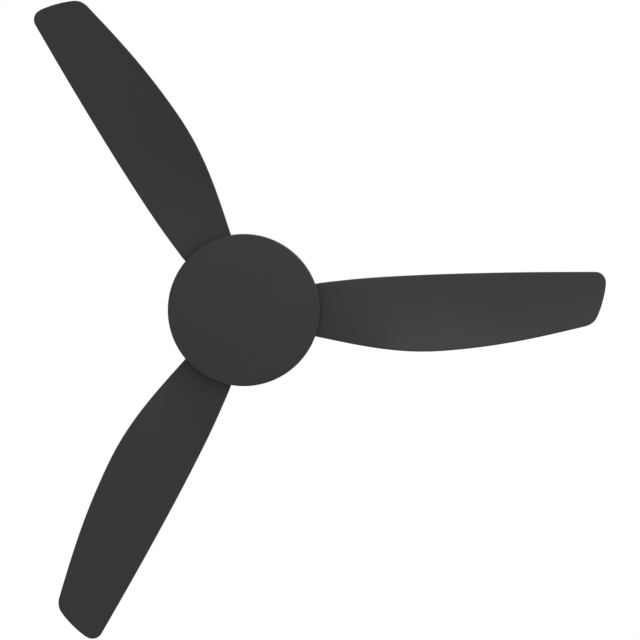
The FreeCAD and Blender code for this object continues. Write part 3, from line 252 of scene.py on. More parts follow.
turning_rings = effect_group("turning_rings", turned_effect)
pin_steel = finish(
    "pin_steel", turning_rings, scale=180, colours=((0.46, 0.46, 0.44), (0.60, 0.58, 0.52)),
    roughness=(0.34, 0.22), bump=(0.1, 0.0002), Metallic=1.0,
)
dress(pin_steel, "ball_cross_pin", "ball_set_screw", "yoke_set_screws", "yoke_lock_nuts", "shaft_grub_screw")
dress(pin_steel, "clevis_pin", "clevis_clip", "light_plate_nut", "shaft_retaining_ring")
brass = finish(
    "clamp_brass", turning_rings, scale=300, colours=((0.62, 0.42, 0.14), (0.78, 0.58, 0.26)),
    roughness=(0.34, 0.2), bump=(0.1, 0.0002), Metallic=1.0,
)
dress(brass, "terminal_screws")

# ------------------------------------------------------------------------------------------------------------
# Downrod and leads. Half-inch steel pipe, powder coated dark grey with a fine orange-peel skin. Two rubber
# leads run inside it, beside the pins.


def peel_effect(tree, place, scale):
    """Powder coat: low rounded bumps, a little duller where it is thin, rubbed at the corners."""
    bumps = noise(tree, place, scale, 1.0, 0.4)
    drift = noise(tree, place, 9.0, 2.0)
    return worn_corners(tree, remap(tree, mixed(tree, bumps, 0.4, drift), 0.3, 0.7), 0.3), bumps


powder_coat = effect_group("powder_coat", peel_effect)
CHARCOAL = ((0.0138, 0.0138, 0.0140), (0.0180, 0.0180, 0.0182))
coated = finish(
    "charcoal_powder_coat", powder_coat, scale=420, colours=CHARCOAL,
    roughness=(0.42, 0.50), bump=(0.16, 0.0004), Specular_IOR_Level=0.4,
)
rubber = finish(
    "lead_rubber", mould_texture, scale=1200, colours=((0.012, 0.012, 0.012), (0.028, 0.028, 0.028)),
    roughness=(0.62, 0.72), bump=(0.1, 0.0002),
)
dress(coated, "downrod", "blade_carrier")
dress(rubber, "motor_lead", "lamp_lead")

# ------------------------------------------------------------------------------------------------------------
# Yoke, motor case, shaft and bearings. The yoke and both halves of the turning case are die-cast aluminium,
# shot blasted. The shaft and the bearing rings are ground steel.


def cast_effect(tree, place, scale):
    """Die casting: shallow pits from blasting, with brighter rubbed corners."""
    pits = put(tree, "ShaderNodeTexVoronoi", {"Vector": place, "Scale": scale}, feature="SMOOTH_F1")
    skin = noise(tree, place, 30.0, 4.0)
    return worn_corners(tree, remap(tree, mixed(tree, skin, 0.7, pits), 0.3, 0.8), 0.5), pits


def sheets_effect(tree, place, scale):
    """Stacked core sheets: dark and bright lines, one above the other."""
    waves = add_node(tree, "ShaderNodeTexWave", {"Vector": place, "Scale": scale}, bands_direction="Z")
    return waves.outputs["Fac"], waves.outputs["Fac"]


blasted = effect_group("blasted_casting", cast_effect)
core_sheets = effect_group("core_sheets", sheets_effect)
casting = finish(
    "cast_aluminium", blasted, scale=700, colours=((0.40, 0.40, 0.41), (0.56, 0.56, 0.57)),
    roughness=(0.52, 0.38), bump=(0.2, 0.0004), Metallic=1.0,
)
ground = finish(
    "ground_steel", turning_rings, scale=400, colours=((0.52, 0.52, 0.52), (0.68, 0.68, 0.68)),
    roughness=(0.2, 0.12), bump=(0.05, 0.0001), Metallic=1.0,
)
core = finish(
    "core_steel", core_sheets, scale=320, colours=((0.10, 0.10, 0.11), (0.30, 0.30, 0.32)),
    roughness=(0.5, 0.36), bump=(0.4, 0.0003), Metallic=1.0,
)
rolled = finish(
    "rolled_steel", turning_rings, scale=220, colours=((0.20, 0.20, 0.20), (0.30, 0.30, 0.29)),
    roughness=(0.42, 0.32), bump=(0.1, 0.0002), Metallic=1.0,
)
magnet = finish(
    "coated_magnet", blasted, scale=400, colours=((0.03, 0.03, 0.033), (0.07, 0.07, 0.075)),
    roughness=(0.4, 0.5), bump=(0.1, 0.0003), Metallic=0.4,
)
dress(casting, "motor_yoke", "rotor_upper_shell", "rotor_lower_shell")
dress(ground, "motor_shaft", "bearing_wave_washer")
for end in ("upper", "lower"):
    dress(ground, f"{end}_bearing_inner_ring", f"{end}_bearing_outer_ring", f"{end}_bearing_balls")
    dress(nylon, f"{end}_bearing_cage")
dress(core, "stator_core")
dress(rolled, "rotor_flux_ring")
dress(magnet, "rotor_magnets")

# ------------------------------------------------------------------------------------------------------------
# Stator windings. Twelve coils of enamelled copper wire, one round each tooth of the core, wound in layers
# on the nylon insulators. The slots widen outwards, so the inner layers start further out.


def smooth(mesh, angle_deg=32.0):
    """Points faces outwards, and shades smooth except across sharp edges."""
    work = bmesh.new()
    work.from_mesh(mesh)
    bmesh.ops.remove_doubles(work, verts=work.verts, dist=1e-6)
    bmesh.ops.dissolve_degenerate(work, edges=work.edges, dist=1e-7)
    bmesh.ops.recalc_face_normals(work, faces=work.faces)
    for face in work.faces:
        face.smooth = True
    limit = math.radians(angle_deg)
    for edge in work.edges:
        edge.smooth = len(edge.link_faces) == 2 and edge.calc_face_angle(0.0) < limit
    work.to_mesh(mesh)
    work.free()
    return mesh


def piece(name, mesh, material, body, slot, *replaced):
    """A finished piece: its mesh in an object at the origin, on its body, in place of its CAD nodes."""
    mesh.materials.clear()
    mesh.materials.append(material)
    thing = bpy.data.objects.new(name, mesh)
    bpy.context.scene.collection.objects.link(thing)
    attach(thing, body)
    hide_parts(*replaced)


def geometry_tree(name, sizes):
    """A Geometry Nodes tree with Geometry in and out, and a named input for each size."""
    tree = bpy.data.node_groups.new(name, "GeometryNodeTree")
    tree.interface.new_socket("Geometry", in_out="INPUT", socket_type="NodeSocketGeometry")
    for label, value in sizes.items():
        kind = "NodeSocketInt" if isinstance(value, int) else "NodeSocketFloat"
        tree.interface.new_socket(label, in_out="INPUT", socket_type=kind).default_value = value
    tree.interface.new_socket("Material", in_out="INPUT", socket_type="NodeSocketMaterial")
    tree.interface.new_socket("Geometry", in_out="OUTPUT", socket_type="NodeSocketGeometry")
    return tree, tree.nodes.new("NodeGroupInput").outputs


def close_tree(tree, geometry, inputs):
    """Ends a tree in Realize Instances and Set Material."""
    real = put(tree, "GeometryNodeRealizeInstances", {0: geometry})
    dressed = put(tree, "GeometryNodeSetMaterial", {"Geometry": real, "Material": inputs["Material"]})
    add_node(tree, "NodeGroupOutput", {0: dressed})


def grow(tree, data, material, sizes):
    """Runs a tree on a mesh with the given sizes, and returns the plain mesh that it makes."""
    carrier = bpy.data.objects.new("carrier", data)
    bpy.context.scene.collection.objects.link(carrier)
    modifier = carrier.modifiers.new("grow", "NODES")
    modifier.node_group = tree
    values = dict(sizes, Material=material)
    for item in tree.interface.items_tree:
        if item.in_out == "INPUT" and item.name in values:
            modifier[item.identifier] = values[item.name]
    graph = bpy.context.evaluated_depsgraph_get()
    mesh = bpy.data.meshes.new_from_object(carrier.evaluated_get(graph))
    bpy.data.objects.remove(carrier)
    return mesh


def joined(tree, shapes, kind="GeometryNodeJoinGeometry", into=0, **settings):
    """Several shapes in one, by a node that takes them all in one input."""
    node = add_node(tree, kind, **settings)
    for shape in shapes:
        tree.links.new(shape, node.inputs[into])
    return node.outputs[0]


def tube(tree, path, radius):
    """A closed tube of four sides round a curve."""
    section = put(tree, "GeometryNodeCurvePrimitiveCircle", {"Resolution": 4, "Radius": radius})
    inputs = {"Curve": path, "Profile Curve": section, "Fill Caps": True}
    return put(tree, "GeometryNodeCurveToMesh", inputs)


def ring_of(tree, shape, count, offset=0.0):
    """Repeats a shape evenly about the fan's axis. The first copy stands a share of a step round from X."""
    points = put(tree, "GeometryNodePoints", {"Count": count})
    step = over(tree, 2 * math.pi, count)
    index = put(tree, "GeometryNodeInputIndex")
    angle = times(tree, plus(tree, index, offset), step)
    turn = put(tree, "ShaderNodeCombineXYZ", {2: angle})
    copies = {"Points": points, "Instance": shape, "Rotation": turn}
    return put(tree, "GeometryNodeInstanceOnPoints", copies)


def winding_tree():
    """Layers of wire wound round a tooth that lies along X, repeated about the axis."""
    sizes = {
        "Count": 12,
        "Turns": 18,
        "Points": 289,
        "Inner Radius": 0.03,
        "Outer Radius": 0.05,
        "Inner Half Width": 0.007,
        "Outer Half Width": 0.012,
        "Window Half Width": 0.005,
        "Low": -0.25,
        "High": -0.21,
        "Wire": 0.0011,
    }
    tree, inp = geometry_tree("coil_windings", sizes)
    last = minus(tree, inp["Points"], 1.0)
    index = put(tree, "GeometryNodeInputIndex")
    share = over(tree, index, last)
    middle = times(tree, plus(tree, inp["Low"], inp["High"]), 0.5)
    half_height = times(tree, minus(tree, inp["High"], inp["Low"]), 0.5)
    half_wire = times(tree, inp["Wire"], 0.5)
    first = plus(tree, inp["Inner Radius"], half_wire)
    final = minus(tree, inp["Outer Radius"], half_wire)
    widening = minus(tree, inp["Outer Half Width"], inp["Inner Half Width"])
    least_width = plus(tree, inp["Window Half Width"], half_wire)
    needed = minus(tree, least_width, inp["Inner Half Width"])

    def squared_off(wave):
        """A sine or cosine with flattened tops, so that the turns are rounded rectangles."""
        size = maths(tree, "POWER", maths(tree, "ABSOLUTE", wave), 0.35)
        return times(tree, maths(tree, "SIGN", wave), size)

    coil = []
    for layer in range(6):
        # The outer layer lies half a wire in, and the next ones nest 0.9 of a wire further each.
        inset = times(tree, inp["Wire"], 0.55 + 0.9 * layer)
        first_share = over(tree, plus(tree, needed, inset), widening)
        start = maths(tree, "MAXIMUM", first_share, 0.0)
        length = minus(tree, 1.0, start)
        place = plus(tree, start, times(tree, share, length))
        turns = times(tree, inp["Turns"], length)
        angle = times(tree, times(tree, share, turns), 2 * math.pi)
        along = plus(tree, first, times(tree, place, minus(tree, final, first)))
        width = plus(tree, inp["Inner Half Width"], times(tree, place, widening))
        width = minus(tree, width, inset)
        height = minus(tree, half_height, inset)
        across = times(tree, squared_off(maths(tree, "COSINE", angle)), width)
        up = times(tree, squared_off(maths(tree, "SINE", angle)), height)
        level = plus(tree, middle, up)
        spot = put(tree, "ShaderNodeCombineXYZ", {0: along, 1: across, 2: level})
        line = put(tree, "GeometryNodeMeshLine", {"Count": inp["Points"]})
        path = put(tree, "GeometryNodeSetPosition", {"Geometry": line, "Position": spot})
        path = put(tree, "GeometryNodeMeshToCurve", {0: path})
        coil.append(tube(tree, path, half_wire))
    close_tree(tree, ring_of(tree, joined(tree, coil), inp["Count"]), inp)
    return tree


low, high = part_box("stator_windings")
winding_sizes = {
    "Inner Radius": 34 * MM,
    "Outer Radius": 54 * MM,
    "Inner Half Width": 7.97 * MM,
    "Outer Half Width": 13.33 * MM,
    "Window Half Width": 4.75 * MM,
    "Low": low.z,
    "High": high.z,
}
copper = finish(
    "winding_copper", turning_rings, scale=300, colours=((0.45, 0.13, 0.05), (0.80, 0.34, 0.16)),
    roughness=(0.3, 0.2), bump=(0.1, 0.0001), Metallic=1.0, Coat_Weight=0.4,
)
coils = smooth(grow(winding_tree(), bpy.data.meshes.new("coils"), copper, winding_sizes), 100.0)
piece("copper_windings", coils, copper, "hanging", "winding_copper", "stator_windings")

# ------------------------------------------------------------------------------------------------------------
# Motor housing. A still ABS bell over the turning case, moulded in dark grey with a fine matt texture, and
# screwed up under the yoke's flange. A ring of slots in its shoulder lets warm air out.


def bend_corners(corners, steps=8):
    """Points (radius, height) along a profile whose corners (radius, height, rounding) have tangent arcs."""
    points = []
    count = len(corners)
    for i, (r, z, rounding) in enumerate(corners):
        here = Vector((r, z))
        if rounding == 0:
            points.append(here)
            continue
        to_last = (Vector(corners[i - 1][:2]) - here).normalized()
        to_next = (Vector(corners[(i + 1) % count][:2]) - here).normalized()
        half = to_last.angle(to_next) / 2
        centre = here + (to_last + to_next).normalized() * rounding / math.sin(half)
        start = here + to_last * rounding / math.tan(half) - centre
        stop = here + to_next * rounding / math.tan(half) - centre
        turn = start.angle_signed(stop)
        for k in range(steps + 1):
            points.append(centre + Matrix.Rotation(-turn * k / steps, 2) @ start)
    return points


def lathe(name, profile, sides=192):
    """A mesh of revolution about the fan's axis. Ends on the axis close with a fan, others join up."""
    on_axis = profile[0].x < 1e-9
    vertices = []
    rings = []
    for point in profile:
        first = len(vertices)
        count = 1 if point.x < 1e-9 else sides
        for k in range(count):
            angle = 2 * math.pi * k / sides
            vertices.append((point.x * math.cos(angle), point.x * math.sin(angle), point.y))
        rings.append([first + k % count for k in range(sides)])
    faces = []
    pairs = list(zip(rings, rings[1:])) + ([] if on_axis else [(rings[-1], rings[0])])
    for lower, upper in pairs:
        for k in range(sides):
            n = (k + 1) % sides
            loop = [lower[k], lower[n], upper[n], upper[k]]
            faces.append([v for i, v in enumerate(loop) if v not in loop[:i]])
    mesh = bpy.data.meshes.new(name)
    mesh.from_pydata(vertices, [], faces)
    return mesh


def moved(tree, shape, x=0.0, z=0.0):
    """Shifts a shape outwards and up."""
    shift = put(tree, "ShaderNodeCombineXYZ", {0: x, 2: z})
    return put(tree, "GeometryNodeTransform", {0: shape, "Translation": shift})


def less(tree, solid, cutter):
    """A solid with another cut out of it."""
    both = {0: solid, 1: cutter}
    return put(tree, "GeometryNodeMeshBoolean", both, operation="DIFFERENCE", solver="EXACT")


def slot_tree():
    """Cuts a ring of radial, round-ended slots through a skin, from above."""
    sizes = {"Count": 18, "Circle": 0.062, "Length": 0.020, "Width": 0.0032, "Low": -0.3, "High": -0.1}
    tree, inp = geometry_tree("vent_slots", sizes)
    plan = {"Width": inp["Length"], "Height": inp["Width"]}
    outline = put(tree, "GeometryNodeCurvePrimitiveQuadrilateral", plan)
    end_radius = times(tree, inp["Width"], 0.495)
    rounding = {"Curve": outline, "Radius": end_radius, "Count": 6}
    rounded = put(tree, "GeometryNodeFilletCurve", rounding, mode="POLY")
    flat = put(tree, "GeometryNodeFillCurve", {"Curve": rounded}, mode="NGONS")
    depth = minus(tree, inp["High"], inp["Low"])
    push = {"Mesh": flat, "Offset Scale": depth, "Individual": False}
    sides = put(tree, "GeometryNodeExtrudeMesh", push)
    base = put(tree, "GeometryNodeFlipFaces", {0: flat})
    prism = {0: joined(tree, (sides, base)), "Distance": 1e-6}
    solid = put(tree, "GeometryNodeMergeByDistance", prism)
    cutter = moved(tree, solid, x=inp["Circle"], z=inp["Low"])
    ring = ring_of(tree, cutter, inp["Count"], 0.5)
    ring = put(tree, "GeometryNodeRealizeInstances", {0: ring})
    close_tree(tree, less(tree, inp["Geometry"], ring), inp)
    return tree


charcoal = finish(
    "charcoal_plastic", mould_texture, scale=1100, colours=CHARCOAL,
    roughness=(0.46, 0.56), bump=(0.25, 0.0003), Specular_IOR_Level=0.35,
)
low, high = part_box("motor_housing")
housing_wall = 2.5 * MM
housing_radius = high.x
neck_radius = 17.3 * MM
flat_radius = 48 * MM
shoulder = 34 * MM
top_bend = 30 * MM
side_bend = 26 * MM
lip = 1.2 * MM


def housing_profile(inset):
    """The bell's outside, or its inside when it is inset by the wall."""
    return [
        (flat_radius, high.z - inset, top_bend),
        (housing_radius - inset, high.z - shoulder, side_bend),
        (housing_radius - inset, low.z + lip, 0),
    ]


outside = [(neck_radius, high.z, 0)] + housing_profile(0.0)
rim = [(housing_radius - 0.5 * MM, low.z, 0), (housing_radius - housing_wall, low.z, 0)]
inside = housing_profile(housing_wall)[::-1][1:] + [(neck_radius, high.z - housing_wall, 0)]
bell = smooth(lathe("bell", bend_corners(outside + rim + inside, 14), 216))
vents = {
    "Count": 18,
    "Circle": 62 * MM,
    "Length": 20 * MM,
    "Width": 3.2 * MM,
    "Low": high.z - shoulder - housing_wall,
    "High": high.z + 1 * MM,
}
bell = smooth(grow(slot_tree(), bell, charcoal, vents), 24.0)
piece("housing_bell", bell, charcoal, "hanging", "charcoal_plastic", "motor_housing")

# ------------------------------------------------------------------------------------------------------------
# Coupling cover and its ring. A thin ABS cup that hides the yoke, made in the same grey as the housing. A
# rubber ring grips the rod above it and holds it down.

low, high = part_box("coupling_cover")
cup_radius = high.x
cup_wall = 2.2 * MM
rod_hole = 11.15 * MM
cup_corner = 13 * MM
profile = [
    (rod_hole, high.z, 0),
    (cup_radius - 3 * MM, high.z, cup_corner),
    (cup_radius, low.z + 1 * MM, 0),
    (cup_radius - 0.6 * MM, low.z, 0),
    (cup_radius - cup_wall, low.z, 0),
    (cup_radius - 3 * MM - cup_wall, high.z - cup_wall, cup_corner - cup_wall),
    (rod_hole, high.z - cup_wall, 0),
]
cup = smooth(lathe("cup", bend_corners(profile, 14), 144))
piece("yoke_cup", cup, charcoal, "hanging", "charcoal_plastic", "coupling_cover")

low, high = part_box("coupling_cover_ring")
rod_radius = 10.65 * MM
profile = [
    (rod_radius, low.z, 0),
    (high.x, low.z, 0.3 * MM),
    (high.x, high.z, 1.6 * MM),
    (rod_radius, high.z, 0),
]
grip = smooth(lathe("grip", bend_corners(profile, 8), 96))
piece("rod_grip_ring", grip, rubber, "hanging", "rubber", "coupling_cover_ring")

# ------------------------------------------------------------------------------------------------------------
# Canopy, its trim ring and the small screws. The canopy is a cup drawn from 1.2 mm steel, powder coated, with
# its rim against the ceiling. The trim ring is pressed into its mouth. The same steel machine screws hold the
# canopy, the earthing wire, the housing, the turning case and the blades' carrier.

low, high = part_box("canopy")
canopy_radius = high.x
sheet = 1.2 * MM
mouth = 27 * MM
corner = 24 * MM
profile = [
    (mouth, low.z, 0),
    (canopy_radius, low.z, corner),
    (canopy_radius, high.z - 0.5 * MM, 0),
    (canopy_radius - 0.4 * MM, high.z, 0),
    (canopy_radius - sheet, high.z, 0),
    (canopy_radius - sheet, low.z + sheet, corner - sheet),
    (mouth, low.z + sheet, 0),
]
drawn = smooth(lathe("drawn_cup", bend_corners(profile, 16), 192))
piece("drawn_canopy", drawn, coated, "ceiling_mount", "charcoal_paint", "canopy")

low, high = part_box("canopy_ring")
neck = mouth - 1.7 * MM
lip_height = 2 * MM
profile = [
    (neck, low.z + 0.8 * MM, 0),
    (neck + 0.8 * MM, low.z, 0.6 * MM),
    (high.x, low.z, 1.2 * MM),
    (high.x, low.z + lip_height, 0),
    (mouth, low.z + lip_height, 0),
    (mouth, high.z, 0),
    (neck, high.z, 0),
]
trim = smooth(lathe("trim", bend_corners(profile, 8), 144))
piece("canopy_trim_ring", trim, charcoal, "ceiling_mount", "charcoal_plastic", "canopy_ring")


def union(tree, *solids):
    """One closed solid from several that overlap."""
    return joined(tree, solids, "GeometryNodeMeshBoolean", 1, operation="UNION", solver="EXACT")


def screw_tree():
    """Screws at the input's points, each along its point's own 'out' direction, with a cross in its head."""
    sizes = {
        "Head Radius": 0.004,
        "Head Height": 0.0024,
        "Thread Radius": 0.002,
        "Length": 0.008,
        "Pitch": 0.0007,
    }
    tree, inp = geometry_tree("cross_head_screws", sizes)

    def of(size, factor):
        """A named size times a factor."""
        return times(tree, inp[size], factor)

    half_height = of("Head Height", 0.5)
    skirt_sizes = {"Vertices": 32, "Radius": inp["Head Radius"], "Depth": half_height}
    skirt = put(tree, "GeometryNodeMeshCylinder", skirt_sizes)
    skirt = moved(tree, skirt, z=times(tree, half_height, 0.5))
    crown_sizes = {
        "Vertices": 32,
        "Radius Top": of("Head Radius", 0.62),
        "Radius Bottom": inp["Head Radius"],
        "Depth": half_height,
    }
    crown = moved(tree, put(tree, "GeometryNodeMeshCone", crown_sizes), z=half_height)
    long_side, short_side = of("Head Radius", 1.05), of("Head Radius", 0.24)
    bars = []
    for x, y in ((long_side, short_side), (short_side, long_side)):
        size = put(tree, "ShaderNodeCombineXYZ", {0: x, 1: y, 2: half_height})
        bars.append(put(tree, "GeometryNodeMeshCube", {"Size": size}))
    head = less(tree, union(tree, skirt, crown), moved(tree, union(tree, *bars), z=inp["Head Height"]))
    core_radius = of("Thread Radius", 0.84)
    shank_sizes = {"Vertices": 20, "Radius": core_radius, "Depth": inp["Length"]}
    shank = put(tree, "GeometryNodeMeshCylinder", shank_sizes)
    shank = moved(tree, shank, z=of("Length", -0.5))
    threaded = 0.92
    spiral_sizes = {
        "Resolution": 16,
        "Rotations": over(tree, of("Length", threaded), inp["Pitch"]),
        "Start Radius": core_radius,
        "End Radius": core_radius,
        "Height": of("Length", -threaded),
    }
    spiral = put(tree, "GeometryNodeCurveSpiral", spiral_sizes)
    thread = tube(tree, spiral, of("Thread Radius", 0.16))
    screw = joined(tree, (head, shank, thread))
    facing = put(tree, "GeometryNodeInputNamedAttribute", {"Name": "out"}, data_type="FLOAT_VECTOR")
    aligned = put(tree, "FunctionNodeAlignRotationToVector", {"Vector": facing}, axis="Z")
    copies = {"Points": inp["Geometry"], "Instance": screw, "Rotation": aligned}
    close_tree(tree, put(tree, "GeometryNodeInstanceOnPoints", copies), inp)
    return tree


cross_head = screw_tree()
black_screw = finish(
    "black_screw_steel", turning_rings, scale=300, colours=((0.014, 0.014, 0.015), (0.05, 0.05, 0.052)),
    roughness=(0.42, 0.3), bump=(0.1, 0.0002), Metallic=0.7,
)
screw_metals = {"screw_steel": pin_steel, "black_screw_steel": black_screw}
small_screw = {"Head Radius": 4 * MM, "Head Height": 2.4 * MM, "Thread Radius": 2 * MM, "Pitch": 0.7 * MM}


def screws(name, replaced, body, metal, seats, outs, length, sizes=small_screw):
    """Cross-head screws whose heads sit at the seats and face the given directions."""
    points = bpy.data.meshes.new(name)
    points.from_pydata([tuple(seat) for seat in seats], [], [])
    attribute = points.attributes.new("out", "FLOAT_VECTOR", "POINT")
    attribute.data.foreach_set("vector", [c for out in outs for c in out])
    material = screw_metals[metal]
    mesh = smooth(grow(cross_head, points, material, dict(sizes, Length=length)), 30.0)
    piece(name, mesh, material, body, metal, replaced)


def around(point, count, first_deg=0.0):
    """A point or direction repeated evenly about the fan's axis."""
    turns = [math.radians(first_deg + k * 360 / count) for k in range(count)]
    return [Matrix.Rotation(turn, 3, "Z") @ Vector(point) for turn in turns]


up, down = (0, 0, 1), (0, 0, -1)
head_height = small_screw["Head Height"]
flange_circle = 25 * MM
case_circle = 78.5 * MM
carrier_circle = 62.5 * MM

low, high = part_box("canopy_screws")
seats = around((canopy_radius, 0, (low.z + high.z) / 2), 2)
outs = around((1, 0, 0), 2)
screws("canopy_cross_screws", "canopy_screws", "ceiling_mount", "black_screw_steel", seats, outs, 9 * MM)

low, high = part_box("earth_screw")
seats = [(low.x + head_height, 0, (low.z + high.z) / 2)]
screws("earthing_screw", "earth_screw", "ceiling_mount", "screw_steel", seats, [(-1, 0, 0)], 6 * MM)

low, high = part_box("housing_screws")
seats = around((flange_circle, 0, high.z - head_height), 4, 45)
screws("flange_screws", "housing_screws", "hanging", "screw_steel", seats, [up] * 4, 10 * MM)

low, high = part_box("rotor_case_screws")
seats = around((case_circle, 0, high.z - head_height), 6)
screws("case_flange_screws", "rotor_case_screws", "rotor", "screw_steel", seats, [up] * 6, 7 * MM)

low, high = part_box("carrier_screws")
seats = around((carrier_circle, 0, low.z + head_height), 6, 30)
screws("carrier_cross_screws", "carrier_screws", "rotor", "screw_steel", seats, [down] * 6, 11 * MM)

# ------------------------------------------------------------------------------------------------------------
# Blades, gaskets and blade screws. Each blade is one ABS moulding: a flat root that screws up under the
# carrier on a fibre gasket, then a thin hollowed plate that twists into its pitch, with full round edges.


def fibre_effect(tree, place, scale):
    """Pressed fibre: short crossed strands."""
    one = noise(tree, stretched(tree, place, (1.0, 9.0, 1.0)), scale)
    two = noise(tree, stretched(tree, place, (9.0, 1.0, 1.0)), scale)
    strands = mixed(tree, one, 0.5, two)
    return remap(tree, strands, 0.35, 0.65), strands


def cubic_through(points, count):
    """Points on a smooth curve through the given ones, spaced by the lengths of their chords."""
    given = np.array(points)
    t = np.concatenate([[0.0], np.cumsum(np.linalg.norm(np.diff(given, axis=0), axis=1))])
    h = np.diff(t)
    n = len(given)
    system = np.zeros((n, n))
    right = np.zeros((n, 2))
    system[0, 0] = system[-1, -1] = 1.0
    for i in range(1, n - 1):
        system[i, i - 1 : i + 2] = (h[i - 1], 2 * (h[i - 1] + h[i]), h[i])
        right[i] = 6 * ((given[i + 1] - given[i]) / h[i] - (given[i] - given[i - 1]) / h[i - 1])
    bend = np.linalg.solve(system, right)
    result = []
    for s in np.linspace(0.0, t[-1], count):
        i = min(np.searchsorted(t, s, side="right") - 1, n - 2)
        a, b = t[i + 1] - s, s - t[i]
        curve = (bend[i] * a**3 + bend[i + 1] * b**3) / (6 * h[i])
        line = (given[i] / h[i] - bend[i] * h[i] / 6) * a + (given[i + 1] / h[i] - bend[i + 1] * h[i] / 6) * b
        result.append(Vector(curve + line))
    return result


def arc_through(a, b, c, count):
    """Points on the circle through three points, from the first to the last."""
    d = 2 * (a.x * (b.y - c.y) + b.x * (c.y - a.y) + c.x * (a.y - b.y))
    sq = [p.length_squared for p in (a, b, c)]
    x = (sq[0] * (b.y - c.y) + sq[1] * (c.y - a.y) + sq[2] * (a.y - b.y)) / d
    y = (sq[0] * (c.x - b.x) + sq[1] * (a.x - c.x) + sq[2] * (b.x - a.x)) / d
    centre = Vector((x, y))
    turn = (a - centre).angle_signed(c - centre)
    return [centre + Matrix.Rotation(-turn * k / (count - 1), 2) @ (a - centre) for k in range(count)]


def round_joint(first, second, radius, steps=12):
    """Joins two runs of points that meet at a corner with an arc of the given radius, inside the corner."""
    run = np.array([tuple(p) for p in first])
    other = np.array([tuple(p) for p in second])
    heading = np.diff(run, axis=0)
    heading /= np.linalg.norm(heading, axis=1)[:, None]
    side = np.sign(np.cross(run[-1] - run[-2], other[1] - other[0]))
    centres = run[1:] + radius * side * np.stack([-heading[:, 1], heading[:, 0]], axis=1)
    gap = np.array([np.linalg.norm(other - centre, axis=1).min() for centre in centres])
    leave = int(np.nonzero(gap >= radius)[0][-1])
    centre = centres[leave]
    join = int(np.argmin(np.linalg.norm(other - centre, axis=1)))
    start, stop = Vector(run[leave + 1] - centre), Vector(other[join] - centre)
    turn = start.angle_signed(stop)
    arc = [Vector(centre) + Matrix.Rotation(-turn * k / steps, 2) @ start for k in range(steps + 1)]
    return first[: leave + 1] + arc + second[join + 1 :]


tip_radius = 660 * MM
cover_radius = 138 * MM
blade_span = tip_radius - cover_radius
# Share of the span, then how far in millimetres the leading and the trailing edge stand from the radial line.
blade_widths = (
    (0.00, 49.5, 49.6),
    (0.13, 57.0, 63.3),
    (0.26, 61.7, 73.0),
    (0.37, 64.5, 75.4),
    (0.49, 66.6, 71.3),
    (0.64, 68.4, 61.0),
    (0.78, 69.3, 46.9),
)
# The same at the tip, where an arc makes the outline and these only guide the blade's middle and thickness.
blade_tip_widths = ((0.90, 69.7, 33.5), (1.00, 69.6, 30.0))
root_inner = 78 * MM
root_half = 38 * MM
tip_lead = Vector((tip_radius - 1.2 * MM, -69.6 * MM))
tip_middle = Vector((tip_radius - 5.5 * MM, -26.5 * MM))
tip_trail = Vector((tip_radius - 25.5 * MM, 26 * MM))
lead = [Vector((cover_radius + share * blade_span, -ahead * MM)) for share, ahead, _ in blade_widths]
lead.append(tip_lead)
trail = [Vector((cover_radius + share * blade_span, behind * MM)) for share, _, behind in blade_widths]
trail.append(tip_trail)
tab = [Vector((root_inner, -root_half)), Vector((root_inner, root_half))]
root_middle = Vector((root_inner, 0.0))


def straight(a, b, count=60):
    """Points along a straight line."""
    return [a.lerp(b, k / (count - 1)) for k in range(count)]


outline = straight(root_middle, tab[0], 200)
outline = round_joint(outline, straight(tab[0], lead[0])[:-1] + cubic_through(lead, 1200), 12 * MM)
outline = round_joint(outline, arc_through(tip_lead, tip_middle, tip_trail, 400), 19 * MM)
outline = round_joint(outline, cubic_through(trail, 1200)[::-1] + straight(trail[0], tab[1])[1:], 31 * MM)
outline = round_joint(outline, straight(tab[1], root_middle, 200)[:-1], 12 * MM)


